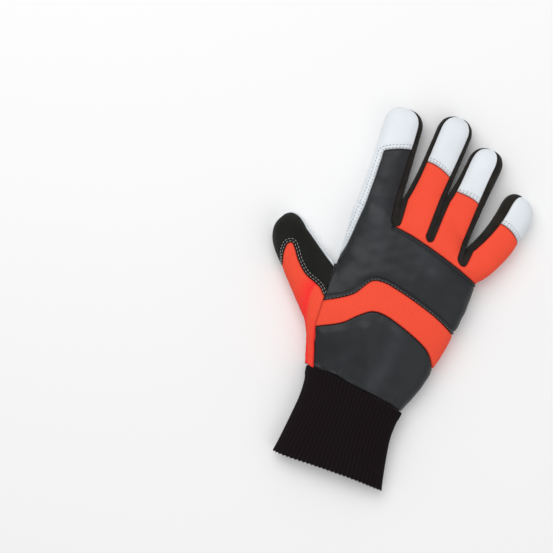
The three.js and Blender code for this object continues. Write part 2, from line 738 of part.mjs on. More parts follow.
function addThumb() {
  // Orange gusset: along the palm's edge and up the thumb's outer side
  const turned = (step) => Math.max(-1, gussetEdge(step));
  const wrapped = rowsBetween(gussetEdge, turned, [0, 0.5, 1]);
  const over = rowsBetween(turned, seamAcross, [0.05, 0.15, 0.32, 0.55, 0.78, 1]);
  const gusset = patch(thumbBlock, 1, thumbSteps, [...wrapped, ...over]);
  addWall('thumb_gusset', [gusset], clothWall, 'orangeCloth');

  // Dark back of the thumb, which also covers the tip and the outer edge beside the gusset
  const innerSide = between(seamAcross, thumbInnerEdge, thumbMarks);
  const outerSide = between(thumbUnderEdge, gussetEdge, [-1, -0.4, 0.2, 0.6, 1]);
  const tipSteps = [0.8, 0.87, 0.924, 0.964, 0.988, 0.998];
  const tipAcross = [
    ...outerSide.map((column) => column(thumbTipStep)),
    ...innerSide.map((column) => column(thumbTipStep)),
  ];
  addWall('thumb_back', [
    patch(thumbBlock, 1, thumbSteps, innerSide),
    patch(thumbBlock, 1, [0.55, 0.64, 0.72, 0.76, 0.8], outerSide),
    patch(thumbBlock, 1, tipSteps, tipAcross),
  ], leatherWall, 'darkSuede');

  // White palm side of the thumb, sewn to the pad along the ball of the thumb
  const padEdge = (step) => lookUp(padSeam, 'across', 'step', step);
  addWall('thumb_palm', [
    patch(thumbBlock, -1, [...thumbSteps, ...tipSteps.slice(1)], [...underThumb, 2 - thumbInnerEdge]),
    patch(palmBlock, -1, [0, ballSteps[0] / 2, ...ballSteps], between(-1, padEdge, [-1, 0, 1])),
  ], leatherWall, 'whiteLeather');
}

// Knitted cuff: a ribbed tube, open at both ends
function addCuff() {
  const left = palmPlan(-1, 0);
  const right = palmPlan(1, 0);
  const middle = mixPoint(left, right, 0.5);
  const slope = (right.y - left.y) / (right.x - left.x);
  const around = Math.PI * (cuffWidth + cuffHeight) / 2 * cuffFullness;
  const ribs = Math.round(around / ribPitch);
  const segments = ribs * 2;
  const turnPoint = (step, turn, inset) => {
    const angle = turn / segments * 2 * Math.PI;
    const from = lookUp(cuffOutline, 'left', 'step', step) * cuffWidth;
    const to = lookUp(cuffOutline, 'right', 'step', step) * cuffWidth;
    const high = lookUp(cuffOutline, 'height', 'step', step) * cuffHeight;
    const cosine = Math.cos(angle);
    const sine = Math.sin(angle);
    const halfWidth = (to - from) / 2 - inset;
    const across = (from + to) / 2 + halfWidth * Math.sign(cosine) * Math.abs(cosine) ** (2 / topPower);
    const lift = (high / 2 - inset) * Math.sign(sine) * Math.abs(sine) ** (2 / topPower);
    const down = seamGap + step * cuffLength;
    const tilt = slope * mix(1, cuffEdgeSlope, step);
    const centreHeight = mix(wristHeight / 2 + padProud / 2, high / 2 + cuffLift, smooth(step));
    return [middle.x + across, middle.y + across * tilt - down, centreHeight + lift];
  };
  const positions = [];
  for (const inner of [false, true]) {
    for (const step of cuffRows) {
      for (let turn = 0; turn < segments; turn += 1) {
        const groove = turn % 2 ? ribDepth : 0;
        positions.push(...turnPoint(step, turn, inner ? knitWall : groove));
      }
    }
  }
  const rows = cuffRows.length;
  const id = (face, row, turn) => (face * rows + row) * segments + turn % segments;
  const index = [];
  const quad = (a, b, c, d) => index.push(a, b, c, a, c, d);
  for (let turn = 0; turn < segments; turn += 1) {
    for (let row = 0; row + 1 < rows; row += 1) {
      quad(id(0, row, turn), id(0, row, turn + 1), id(0, row + 1, turn + 1), id(0, row + 1, turn));
      quad(id(1, row, turn), id(1, row + 1, turn), id(1, row + 1, turn + 1), id(1, row, turn + 1));
    }
    quad(id(0, 0, turn), id(1, 0, turn), id(1, 0, turn + 1), id(0, 0, turn + 1));
    const last = rows - 1;
    quad(id(0, last, turn), id(0, last, turn + 1), id(1, last, turn + 1), id(1, last, turn));
  }
  const geometry = new THREE.BufferGeometry();
  geometry.setAttribute('position', new THREE.Float32BufferAttribute(positions, 3));
  geometry.setIndex(index);
  addMesh('knit_cuff', geometry, 'knit');
}

addBack();
addFourchettes();
addPalmLeather();
addPad();
addThumb();
addCuff();

// The origin is below the middle of the glove, on the surface that it lies on
const box = new THREE.Box3().setFromObject(glove);
const centre = box.getCenter(new THREE.Vector3());
glove.position.set(-centre.x, -centre.y, -box.min.z);
glove.updateMatrixWorld(true);

export default glove;
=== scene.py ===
"""Looks of a right-hand chainsaw glove: leather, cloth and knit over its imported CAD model.

Shapes are worked out in millimetres in the drawing's own plan and moved to the frame at the end.
Each panel is a grid of two parameters: how far it lies across a palm, finger or thumb, from -1 to 1,
and how far along. Going past -1 or 1 turns round the edge onto the other face.
"""

import math

import bpy
import numpy as np
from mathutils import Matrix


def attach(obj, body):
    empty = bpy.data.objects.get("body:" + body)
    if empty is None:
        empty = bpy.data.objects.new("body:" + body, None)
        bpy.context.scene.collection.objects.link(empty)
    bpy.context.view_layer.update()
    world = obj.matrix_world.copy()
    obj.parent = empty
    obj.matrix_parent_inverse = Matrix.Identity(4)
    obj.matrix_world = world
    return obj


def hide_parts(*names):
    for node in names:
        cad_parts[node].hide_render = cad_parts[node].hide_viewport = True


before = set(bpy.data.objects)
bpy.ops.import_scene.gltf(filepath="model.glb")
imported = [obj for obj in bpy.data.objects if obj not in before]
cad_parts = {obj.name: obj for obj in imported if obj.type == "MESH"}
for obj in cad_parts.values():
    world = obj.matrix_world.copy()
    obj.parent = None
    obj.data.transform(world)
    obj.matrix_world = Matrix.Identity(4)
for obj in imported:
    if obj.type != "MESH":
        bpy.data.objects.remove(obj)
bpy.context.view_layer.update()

bl_info = {
    "name": "Chainsaw glove looks",
    "version": (1, 0, 0),
    "blender": (4, 5, 0),
    "location": "View3D > Sidebar > Glove",
    "description": "Dresses the glove's CAD model in leather, ribbed cloth, knit and stitching",
    "category": "Object",
}

# Where the drawing's origin lies in the frame, in millimetres
SHIFT = np.array((20.458, -1.725, 0.011))

# Sizes of palm, wrist, fingers, thumb and cuff, in millimetres, which follow the solids
PALM_WIDTH, PALM_LENGTH, PALM_HEIGHT = 104.0, 115.0, 28.0
WRIST_HEIGHT = 23.0
FINGER_LENGTH, FINGER_WIDTH, FINGER_HEIGHT, TIP_LENGTH = 95.5, 26.6, 19.5, 14.0
THUMB_SHAFT, THUMB_TIP, THUMB_WIDTH, THUMB_HEIGHT = 52.5, 20.0, 31.0, 22.0
THUMB_TURN, THUMB_ROW = math.radians(43), math.radians(59)
CUFF_LENGTH, CUFF_WIDTH, CUFF_HEIGHT, CUFF_SLOPE = 64.5, 77.0, 22.0, 0.02
# How far the padding stands out below the palm
PAD_PROUD = 2.3
# Powers of the superellipses on the back, on the palm side and round the tips
TOP_POWER, PALM_POWER, TIP_POWER = 2.5, 3.2, 2.3
# Height of the middle plane as a share in palm and fingers, and how far the palm side sags beyond it
MIDDLE_SHARE, FINGER_MIDDLE_SHARE, SAG = 0.44, 0.48, 0.1
# Step at which the thumb leaves the palm's edge, and how much the knuckles' line is bowed
CROTCH_STEP, ARCH = 0.65, 0.052
# Steps at which the pad ends and the index finger's outer strip starts on the back
PAD_TOP, STRIP_START = 0.955, 0.7
# How far the back wraps round the hand's outer side, and how far the pad's edge lies in from the side
BACK_WRAP, PAD_INSET = 0.11, 0.03
# Level at which the web starts on the palm side
WEB_START = 0.25
# Steps at which the thumb leaves the hand and its tip rounds off
THUMB_ROOT, THUMB_TIP_START = 0.4, 0.8
# Edges of the thumb's suede: round the outer side onto the palm side, and beside the inner side
THUMB_UNDER, THUMB_INNER = -1.2, 0.93
# Step at which the palm has its full height, how far it opens into the thumb, and the knuckles' height
GROWN_STEP, ROOT_OPENING, KNUCKLE_SHARE = 0.45, 0.82, 0.86
# Width of the side strips on the palm side, across, and the level at which they have opened
UNDER_STRIP, UNDER_STRIP_OPEN = 0.3, 0.48
# Top of the orange panel on the thumb: the step at which it starts to close and its place across
PEAK_START, PEAK_ACROSS = 0.765, -0.31
# Height over which the cuff's first rows turn in, and how far they go on inside the hand
CUFF_ROLL, CUFF_TUCK = 1.3, 2.6
# Length of the back beside the band that a step of 1 covers
BACK_LENGTH = 112.0
# Gaps of the stitched rows from their seams, and of the dip between a fingertip's rows
TIP_ROWS, STRIP_ROWS, THUMB_ROWS, PAD_THUMB_ROWS = (1.4, 3.0), (1.1, 3.4), (1.1, 2.9), (1.4, 3.6)
BACK_ROW, TIP_DIP = 0.7, 2.4

# step, left x, left y, right x, right y: shares of the palm's width and length
PALM = (
    (0, -0.525, -0.61, 0.257, -0.69),
    (0.13, -0.505, -0.485, 0.315, -0.55),
    (0.27, -0.543, -0.357, 0.353, -0.41),
    (0.42, -0.553, -0.174, 0.399, -0.217),
    (0.65, -0.558, 0.078, 0.433, 0.017),
    (0.8, -0.553, 0.226, 0.445, 0.157),
    (1, -0.572, 0.443, 0.452, 0.265),
)
# step, outer x, outer y, inner x, inner y
THUMB = (
    (0, -0.525, -0.61, -0.558, 0.078),
    (0.1, -0.531, -0.578, -0.577, 0.087),
    (0.25, -0.585, -0.43, -0.606, 0.1),
    (0.4, -0.639, -0.33, -0.644, 0.122),
)
# across, lower edge and upper edge of the orange band along the palm
BAND = (
    (-1, 0.27, 0.412),
    (-0.6, 0.345, 0.512),
    (-0.43, 0.402, 0.615),
    (-0.25, 0.455, 0.637),
    (-0.05, 0.462, 0.629),
    (0.2, 0.443, 0.612),
    (0.6, 0.4, 0.578),
    (0.8, 0.368, 0.554),
    (1, 0.311, 0.523),
)
# across, step of the seam between the dark leather and the fingers' orange cloth
KNUCKLES = ((-1, 0.992), (-0.36, 0.992), (-0.1, 0.991), (0.14, 0.985), (0.5, 0.978), (1, 0.975))
# step, seam between orange and dark, outer edge of the orange
THUMB_SEAM = (
    (0, 0.37, -1.2),
    (0.25, 0.2, -1.2),
    (0.4, 0.05, -1.2),
    (0.55, -0.17, -1.2),
    (0.66, -0.17, -1.12),
    (0.72, -0.09, -1),
    (0.8, -0.02, -0.5),
)
# step, edge of the pad beside the thumb
PAD_SEAM = ((0, -0.78), (0.3, -0.7), (0.5, -0.74), (0.65, -0.9))
# across, millimetres by which the cuff's seam on the back is drawn up from the straight wrist
WRIST_BOW = ((-1, 1.6), (-0.9, 1.2), (-0.72, 2.6), (-0.55, 3.1), (-0.2, 2.2), (0.3, 2.1), (0.8, 1.0), (1, 0))
# step, left, right, height
CUFF = (
    (0, -0.5, 0.54, 1),
    (0.08, -0.49, 0.53, 0.96),
    (0.15, -0.468, 0.518, 0.93),
    (0.35, -0.456, 0.516, 0.9),
    (0.65, -0.481, 0.551, 0.86),
    (0.9, -0.51, 0.591, 0.8),
    (1, -0.525, 0.612, 0.74),
)


def mix(a, b, t):
    """A straight line from a at 0 to b at 1."""
    return a + (b - a) * t


def clamp(t):
    """Held between 0 and 1."""
    return np.clip(t, 0.0, 1.0)


def smooth(t):
    """Goes from 0 to 1 with level ends."""
    return clamp(t) ** 2 * (3 - 2 * clamp(t))


def arc(t, power):
    """Height of a superellipse of half-width 1 and height 1 at t."""
    return np.maximum(0.0, 1 - np.abs(t) ** power) ** (1 / power)


def look_up(table, column, at):
    """A cubic through a table's rows: each row's slope is that of the line between its neighbours."""
    rows = np.array(table, float)
    x, y = rows[:, 0], rows[:, column]
    at = np.asarray(at, float)
    row = np.clip(np.searchsorted(x, at, side="left") - 1, 0, len(x) - 2)
    before, after = np.maximum(row - 1, 0), np.minimum(row + 2, len(x) - 1)
    span = x[row + 1] - x[row]
    t = clamp((at - x[row]) / span)
    slope_in = (y[row + 1] - y[before]) / (x[row + 1] - x[before]) * span
    slope_out = (y[after] - y[row]) / (x[after] - x[row]) * span
    rise = y[row + 1] - y[row]
    return (y[row] + t * slope_in + t * t * (3 * rise - 2 * slope_in - slope_out)
            + t ** 3 * (slope_in + slope_out - 2 * rise))


def stack(x, y, z):
    """Three arrays as places."""
    return np.stack(np.broadcast_arrays(x, y, z), axis=-1)


PALM_MIDDLE = PALM_HEIGHT * MIDDLE_SHARE
WRIST_MIDDLE = WRIST_HEIGHT * MIDDLE_SHARE
FINGER_MIDDLE = FINGER_HEIGHT * FINGER_MIDDLE_SHARE


def palm_plan(across, step):
    """A straight line between the palm's two outlines, bowed towards the knuckles by a parabola."""
    left_x, left_y = (look_up(PALM, 1, step) * PALM_WIDTH, look_up(PALM, 2, step) * PALM_LENGTH)
    right_x, right_y = (look_up(PALM, 3, step) * PALM_WIDTH, look_up(PALM, 4, step) * PALM_LENGTH)
    half = (1 + across) / 2
    bow = ARCH * PALM_LENGTH * (1 - across * across) * step * step
    return mix(left_x, right_x, half), mix(left_y, right_y, half) + bow


def palm_middle(step):
    """Height of the palm's middle plane, which rises from the wrist."""
    return mix(WRIST_MIDDLE, PALM_MIDDLE, smooth(step / GROWN_STEP))


def palm_height(across, step, face):
    """A superellipse over the middle plane and a flatter one under it, both kept open at the thumb."""
    grow = smooth(step / GROWN_STEP)
    middle = palm_middle(step)
    top = mix(WRIST_HEIGHT, PALM_HEIGHT, grow) - middle
    root = np.where(step < CROTCH_STEP, ROOT_OPENING * arc(2 * step / CROTCH_STEP - 1, TOP_POWER), 0.0)

    def opened(power):
        closed = np.where(across < 0, 1 - root ** power, 1.0)
        return np.maximum(0.0, 1 - closed * np.abs(across) ** power) ** (1 / power)

    under = np.maximum(PAD_PROUD, middle - middle * (1 + SAG) * opened(PALM_POWER))
    return np.where(face > 0, middle + top * opened(TOP_POWER), under)


def palm_block(across, step, face):
    """The palm's plan with its height on the back or the palm side."""
    x, y = palm_plan(across, step)
    return stack(x, y, palm_height(across, step, face))


class Finger:
    """A finger's sizes, its axis and where its sides leave the webs."""

    def __init__(self, row, left, right):
        (self.name, self.length, self.width, self.lean, self.bow, self.start, self.end,
         self.band_left, self.band_right, self.cap_left, self.cap_right,
         self.tip_left, self.tip_right, self.cap_bow) = row
        self.length *= FINGER_LENGTH
        self.width *= FINGER_WIDTH
        self.band_left *= FINGER_WIDTH
        self.band_right *= FINGER_WIDTH
        x, y = palm_plan(np.array((self.start + self.end) / 2), np.array(1.0))
        self.root = np.array((float(x), float(y)))
        self.tip = self.root + (self.lean * self.width, self.length)
        ahead = (self.tip - self.root) / np.hypot(*(self.tip - self.root))
        self.ahead, self.sideways = ahead, np.array((ahead[1], -ahead[0]))
        self.crotch = {-1: left, 1: right}
        self.opens = {side: (0.0, 0.28) if c is None else c[2:] for side, c in self.crotch.items()}
        own = [None if c is None else (c[1] * PALM_LENGTH - self.root[1]) / self.length
               for c in (left, right)]
        self.share = {-1: own[0] if own[0] is not None else own[1],
                      1: own[1] if own[1] is not None else own[0]}
        self.tip_share = 1 - TIP_LENGTH / self.length

    def share_at(self, side, level):
        """Share of the length: a straight line in each of the web, the shaft and the tip."""
        start = self.share[side]
        on_shaft = mix(start, self.tip_share, level - 1)
        return np.where(level < 1, start * level,
                        np.where(level < 2, on_shaft, mix(self.tip_share, 1, level - 2)))

    def level_at(self, side, share):
        return 1 + (share - self.share[side]) / (self.tip_share - self.share[side])

    def own_side(self, side, share):
        """Half the width off the axis, plus a parabola of bow, rounded off at the tip."""
        past = clamp((share - self.tip_share) / (1 - self.tip_share))
        out = (side * self.width / 2 * arc(past, TIP_POWER)
               + self.bow * self.width * 4 * share * (1 - share))
        x = mix(self.root[0], self.tip[0], share) + out * self.sideways[0]
        y = mix(self.root[1], self.tip[1], share) + out * self.sideways[1]
        return x, y

    def side(self, side, level):
        """The web's straight line from knuckle to crotch, then the finger's own side led to it."""
        corner = [float(v) for v in palm_plan(np.array(self.start if side < 0 else self.end), np.array(1.0))]
        crotch = self.crotch[side]
        meet = corner if crotch is None else (crotch[0] * PALM_WIDTH, crotch[1] * PALM_LENGTH)
        share = self.share_at(side, level)
        x, y = self.own_side(side, share)
        from_share = 0.0 if crotch is None else float(self.share_at(side, np.array(1.0)))
        start_x, start_y = self.own_side(side, np.array(from_share))
        fade = (1 - clamp((share - from_share) / (1 - from_share))) ** 5
        x, y = x + (meet[0] - start_x) * fade, y + (meet[1] - start_y) * fade
        if crotch is None:
            return x, y
        web = level < 1
        return (np.where(web, mix(corner[0], meet[0], level), x),
                np.where(web, mix(corner[1], meet[1], level), y))

    def block(self, across, level, face):
        """A superellipse section between the two sides, blended from the palm's own at the knuckles."""
        half = (1 + across) / 2
        (left_x, left_y), (right_x, right_y) = self.side(-1, level), self.side(1, level)
        x, y = mix(left_x, right_x, half), mix(left_y, right_y, half)
        share = mix(self.share_at(-1, level), self.share_at(1, level), half)
        knuckle = mix(self.start, self.end, half)
        arched = palm_plan(knuckle, np.ones_like(knuckle))
        ends = [palm_plan(np.array(v), np.array(1.0)) for v in (self.start, self.end)]
        fade = (1 - clamp(level)) ** 3
        x = x + (arched[0] - mix(ends[0][0], ends[1][0], half)) * fade
        y = y + (arched[1] - mix(ends[0][1], ends[1][1], half)) * fade
        free = np.where(face > 0, smooth(level), smooth((level - WEB_START) / (1 - WEB_START)))
        rounding = arc(clamp((share - self.tip_share) / (1 - self.tip_share)), TIP_POWER)
        middle = mix(PALM_MIDDLE, FINGER_MIDDLE, smooth(level / 2))
        height = mix(PALM_HEIGHT * KNUCKLE_SHARE, FINGER_HEIGHT, smooth(level))
        top = (height - middle) * rounding * arc(across, TOP_POWER)
        depth = middle * (1 + SAG) * rounding * arc(across, PALM_POWER)
        floor = mix(PAD_PROUD, 0.0, smooth(level - 1))
        own = np.where(face > 0, middle + top, np.maximum(floor, middle - depth))
        shared = palm_height(knuckle, np.ones_like(knuckle), face) - PALM_MIDDLE + middle
        return stack(x, y, np.maximum(floor, mix(shared, own, free)))

    def level_size(self):
        """Millimetres from the crotch to where the tip rounds off."""
        return (self.tip_share - (self.share[-1] + self.share[1]) / 2) * self.length

    def cap(self, across):
        """Level of the seam below the leather cap: a straight line bowed towards the tip by a parabola."""
        line = mix(self.level_at(-1, self.cap_left), self.level_at(1, self.cap_right), (1 + across) / 2)
        return line + self.cap_bow * (1 - (np.minimum(across, 1.1) / 0.8) ** 2) / self.level_size()


# left, forward, levels at which the side strips below it start and have opened
CROTCHES = ((-0.26, 0.613, 0, 0.2), (0.034, 0.735, 0.05, 0.16), (0.292, 0.457, 0.13, 0.3))
# name, length and width as shares of the middle finger's, lean, bow, start and end across the palm,
# side strips, places of the cap's seam, how much the side strips widen at the tip, bow of the cap's seam
INDEX = Finger(("index", 0.895, 1.113, -0.13, 0.03, -1, -0.36,
                0.207, 0.15, 0.55, 0.668, 1, 0.8, 1.2), None, CROTCHES[0])
MIDDLE = Finger(("middle", 1, 1, 0.21, 0, -0.36, 0.14,
                 0.105, 0.122, 0.585, 0.525, 0.65, 0.72, 2.0), *CROTCHES[:2])
RING = Finger(("ring", 0.916, 0.977, 0.31, -0.02, 0.14, 0.69,
               0.102, 0.135, 0.562, 0.518, 0.5, 1.5, 3.0), *CROTCHES[1:])
LITTLE = Finger(("little", 0.728, 0.992, 0.73, 0.15, 0.69, 1,
                 0.173, 0.188, 0.622, 0.59, 1.4, 1, 1.9), CROTCHES[2], None)
FINGERS = (INDEX, MIDDLE, RING, LITTLE)

THUMB_AHEAD = np.array((-math.sin(THUMB_TURN), math.cos(THUMB_TURN)))
THUMB_OUTER = np.array((float(look_up(THUMB, 1, THUMB_ROOT)) * PALM_WIDTH,
                        float(look_up(THUMB, 2, THUMB_ROOT)) * PALM_LENGTH)) + THUMB_AHEAD * THUMB_SHAFT
THUMB_INNER_END = THUMB_OUTER + THUMB_WIDTH * np.array((math.cos(THUMB_ROW), math.sin(THUMB_ROW)))


def thumb_edge(side, step):
    """The table up to the root, a straight line up to the tip, then a superellipse round it."""
    column = 1 if side < 0 else 3
    at = np.minimum(step, THUMB_ROOT)
    x = look_up(THUMB, column, at) * PALM_WIDTH
    y = look_up(THUMB, column + 1, at) * PALM_LENGTH
    on = clamp((step - THUMB_ROOT) / (THUMB_TIP_START - THUMB_ROOT))
    end = THUMB_OUTER if side < 0 else THUMB_INNER_END
    centre = (THUMB_OUTER + THUMB_INNER_END) / 2
    past = clamp((step - THUMB_TIP_START) / (1 - THUMB_TIP_START))
    half = arc(past, TIP_POWER)
    tip = [centre[k] + THUMB_AHEAD[k] * past * THUMB_TIP + (end[k] - centre[k]) * half for k in (0, 1)]
    late = step > THUMB_TIP_START
    return np.where(late, tip[0], mix(x, end[0], on)), np.where(late, tip[1], mix(y, end[1], on))


def thumb_block(across, step, face):
    """Rows that fan out from the palm's edge, each a superellipse blended from the palm's own edge."""
    half = (1 + across) / 2
    (outer_x, outer_y), (inner_x, inner_y) = thumb_edge(-1, step), thumb_edge(1, step)
    seam = CROTCH_STEP * half
    rooted = palm_plan(np.full_like(seam, -1.0), seam)
    zero = np.array(0.0)
    (from_x, from_y), (to_x, to_y) = thumb_edge(-1, zero), thumb_edge(1, zero)
    fade = (1 - clamp(step / THUMB_ROOT)) ** 2
    x = mix(outer_x, inner_x, half) + (rooted[0] - mix(from_x, to_x, half)) * fade
    y = mix(outer_y, inner_y, half) + (rooted[1] - mix(from_y, to_y, half)) * fade
    rounding = arc(clamp((step - THUMB_TIP_START) / (1 - THUMB_TIP_START)), TIP_POWER)
    grown = smooth(step / THUMB_ROOT)
    root_middle = palm_middle(seam)
    middle = mix(root_middle, THUMB_HEIGHT * MIDDLE_SHARE, smooth(step))
    top = (THUMB_HEIGHT - middle) * rounding * arc(across, TOP_POWER)
    depth = middle * (1 + SAG) * rounding * arc(across, PALM_POWER)
    own = np.where(face > 0, middle + top, middle - depth)
    shared = palm_height(np.full_like(seam, -1.0), seam, face) - root_middle + middle
    return stack(x, y, np.maximum(mix(PAD_PROUD, 0.0, grown), mix(shared, own, grown)))


def surface(block, face, across, along):
    """A place on a block: past -1 or 1 it turns round the edge onto the other face."""
    across, along = np.broadcast_arrays(across, along)
    inner = np.where(across > 1, 2 - across, np.where(across < -1, -2 - across, across))
    return block(inner, along, np.where(np.abs(across) > 1, -face, face))


def hand(finger, face, across, along):
    """The palm below a finger for a negative along, and the finger itself above it."""
    across, along = np.broadcast_arrays(across, along)
    on_finger = surface(finger.block, face, across, np.maximum(along, 0.0))
    knuckle = mix(finger.start, finger.end, (1 + across) / 2)
    on_palm = surface(palm_block, face, knuckle, 1 + np.minimum(along, 0.0))
    return np.where((along < 0)[..., None], on_palm, on_finger)


def to_turn(across):
    """Angle round the section, as a share of a quarter turn, so that points are evenly apart."""
    def turned(value):
        return np.arcsin(np.clip(value, -1, 1)) * 2 / math.pi
    return np.where(across > 1, 2 - turned(2 - across),
                    np.where(across < -1, -2 - turned(-2 - across), turned(across)))


def from_turn(turn):
    """The way back from such an angle to a place across, by a sine."""
    def across(value):
        return np.sin(np.clip(value, -1, 1) * math.pi / 2)
    return np.where(turn > 1, 2 - across(2 - turn),
                    np.where(turn < -1, -2 - across(-2 - turn), across(turn)))


def spaced(count, crowd=0.45):
    """Shares from 0 to 1 that lie closer together near both ends, by a cosine."""
    t = np.linspace(0, 1, count)
    return mix(t, (1 - np.cos(math.pi * t)) / 2, crowd)


def slowing(count):
    """Shares from 0 to 1 that lie closer together near 1, by a sine."""
    return np.sin(np.linspace(0, 1, count) * math.pi / 2)


def level_rows(levels, count):
    """Each level as a row of that many equal places."""
    return np.broadcast_to(levels[:, None], (len(levels), count))


def columns(left, right, shares):
    """Places across from one edge to another, evenly round the section."""
    left, right = (np.asarray(v, float)[..., None] for v in (left, right))
    return from_turn(mix(to_turn(left), to_turn(right), shares))


def tongue(level, start, end):
    """A quarter circle that opens from 0 to 1."""
    past = clamp((level - start) / (end - start))
    return np.sqrt(1 - (1 - past) ** 2)


def back_edge(finger, side, level):
    """Where a side strip begins on a finger's back: it opens like a tongue and changes towards the tip."""
    band, tip = ((finger.band_left, finger.tip_left) if side < 0 else (finger.band_right, finger.tip_right))
    width = band * mix(1, tip, smooth(level - 1))
    return 1 - 2 * width / finger.width * tongue(level, *finger.opens[side])


def knuckle_seam(across):
    """Step of the seam below the fingers' orange cloth, from its table."""
    return look_up(KNUCKLES, 1, across)


def palm_edge(level):
    """Where a side strip begins on the palm side."""
    return 1 - UNDER_STRIP * tongue(level, WEB_START, UNDER_STRIP_OPEN)


def little_wrap(level):
    """How far the orange cloth wraps round the little finger, blended from the palm's wrap."""
    return mix(2 * BACK_WRAP / (LITTLE.end - LITTLE.start), 2 * LITTLE.band_right / LITTLE.width,
               smooth(level))


# Walls: grids sewn into one shell


def grid(block, face, across, along, ahead=(0.0, 1.0)):
    """Places of a grid, the middle of the section beside each, and plan coordinates along ahead."""
    across, along = np.broadcast_arrays(np.asarray(across, float), np.asarray(along, float))
    at = surface(block, face, across, along) if callable(block) else hand(block, face, across, along)
    zero = np.zeros_like(across)
    if callable(block):
        axis = (surface(block, 1, zero, along) + surface(block, -1, zero, along)) / 2
    else:
        axis = (hand(block, 1, zero, along) + hand(block, -1, zero, along)) / 2
        ahead = block.ahead
    ahead = np.asarray(ahead)
    u = at[..., 0] * ahead[1] - at[..., 1] * ahead[0]
    v = at[..., 0] * ahead[0] + at[..., 1] * ahead[1]
    return {"at": at, "axis": axis, "uv": np.stack((u, v), -1) / 1000}


class Wall:
    """Grids welded where they share places, with the distance of each place from the wall's seams."""

    def __init__(self, grids):
        self.at = np.concatenate([g["at"].reshape(-1, 3) for g in grids])
        uv = np.concatenate([g["uv"].reshape(-1, 2) for g in grids])
        faces, base = [], 0
        for g in grids:
            rows, cols = g["at"].shape[:2]
            ids = base + np.arange(rows * cols).reshape(rows, cols)
            quads = np.stack((ids[:-1, :-1], ids[:-1, 1:], ids[1:, 1:], ids[1:, :-1]), -1).reshape(-1, 4)
            corner = [self.at[quads[:, k]] for k in range(4)]
            facing = np.cross(corner[2] - corner[0], corner[3] - corner[1])
            away = corner[0] - g["axis"].reshape(-1, 3)[quads[:, 0] - base]
            faces.append(quads if np.sum(facing * away) > 0 else quads[:, ::-1])
            base += rows * cols
        quads = np.concatenate(faces)
        key = np.round(self.at * 200 + 0.137).astype(np.int64)
        _, first, same = np.unique(key, axis=0, return_index=True, return_inverse=True)
        same = same.reshape(-1)
        self.at = self.at[first]
        welded = same[quads]
        joined = welded == np.roll(welded, -1, axis=1)
        count = joined.sum(1)
        self.faces = [welded[count == 0]]
        corners = [uv[quads[count == 0]]]
        for k in range(4):
            one = (count == 1) & joined[:, k]
            keep = [j for j in range(4) if j != k]
            triangle = welded[one][:, keep]
            real = (triangle[:, 0] != triangle[:, 2])
            self.faces.append(triangle[real])
            corners.append(uv[quads[one][:, keep]][real])
        self.uv = np.concatenate([c.reshape(-1, 2) for c in corners])
        self.deep = np.concatenate([np.linalg.norm(g["at"] - g["axis"], axis=-1).ravel()
                                    for g in grids])[first]
        # shade is a share of painted light for the material: painted highlight on the dark leather, painted
        # shade on the orange cloth
        self.shade = np.zeros(len(self.at))
        self.measure()
        self.shown = self.edge
        self.out = self.normals()

    def room(self):
        """How thick the wall may be without passing the middle of the section."""
        return 0.45 * self.deep + 0.05

    def normals(self):
        """Sum of the normals of the faces round each place, by their areas."""
        out = np.zeros_like(self.at)
        for face in self.faces:
            a, b, c = self.at[face[:, 0]], self.at[face[:, 1]], self.at[face[:, 2]]
            square = np.cross(b - a, c - a) if face.shape[1] == 3 else np.cross(
                c - a, self.at[face[:, 3]] - b)
            for k in range(face.shape[1]):
                np.add.at(out, face[:, k], square)
        return out / np.maximum(np.linalg.norm(out, axis=1, keepdims=True), 1e-9)

    def measure(self):
        """Distance to the nearest edge that only one face uses, and the nearest place on it."""
        starts = np.concatenate([f.ravel() for f in self.faces])
        ends = np.concatenate([np.roll(f, -1, axis=1).ravel() for f in self.faces])
        size = len(self.at)
        forth, back = starts * size + ends, ends * size + starts
        rim = ~np.isin(forth, back)
        self.rim = np.stack((starts[rim], ends[rim]), -1)
        a, b = self.at[self.rim[:, 0]].astype(np.float32), self.at[self.rim[:, 1]].astype(np.float32)
        run = b - a
        length = np.maximum((run ** 2).sum(1), 1e-12)
        self.edge = np.empty(size)
        self.near = np.empty((size, 3))
        at = self.at.astype(np.float32)
        for start in range(0, size, 1500):
            part = at[start:start + 1500]
            share = clamp((part @ run.T - (a * run).sum(1)) / length)
            gap = part[:, None] - (a + share[..., None] * run)
            distance = (gap ** 2).sum(2)
            best = distance.argmin(1)
            pick = np.arange(len(part))
            self.edge[start:start + 1500] = np.sqrt(distance[pick, best])
            self.near[start:start + 1500] = part - gap[pick, best]

    def draw_in(self, gap):
        """Moves the edge back by half a seam's gap, square to itself, and what lies near it by less.
        The gap is one width, or one for each place."""
        gap = np.broadcast_to(gap, self.edge.shape)
        inward = np.zeros_like(self.at)
        run = self.at[self.rim[:, 1]] - self.at[self.rim[:, 0]]
        for k in (0, 1):
            square = np.cross(self.out[self.rim[:, k]], run)
            square /= np.maximum(np.linalg.norm(square, axis=1, keepdims=True), 1e-9)
            np.add.at(inward, self.rim[:, k], square)
        on_rim = np.linalg.norm(inward, axis=1) > 0
        inward = np.where(on_rim[:, None], inward, self.at - self.near)
        inward /= np.maximum(np.linalg.norm(inward, axis=1, keepdims=True), 1e-9)
        reach = gap / 2 * clamp(1 - self.edge / (1.5 * gap))
        self.at = self.at + inward * reach[:, None]

    def push(self, amount):
        self.at = self.at + self.out * np.asarray(amount)[:, None]


def roll(edge, width, depth):
    """A quarter circle down to the seam."""
    past = 1 - clamp(edge / width)
    return -depth * (1 - np.sqrt(1 - past ** 2))


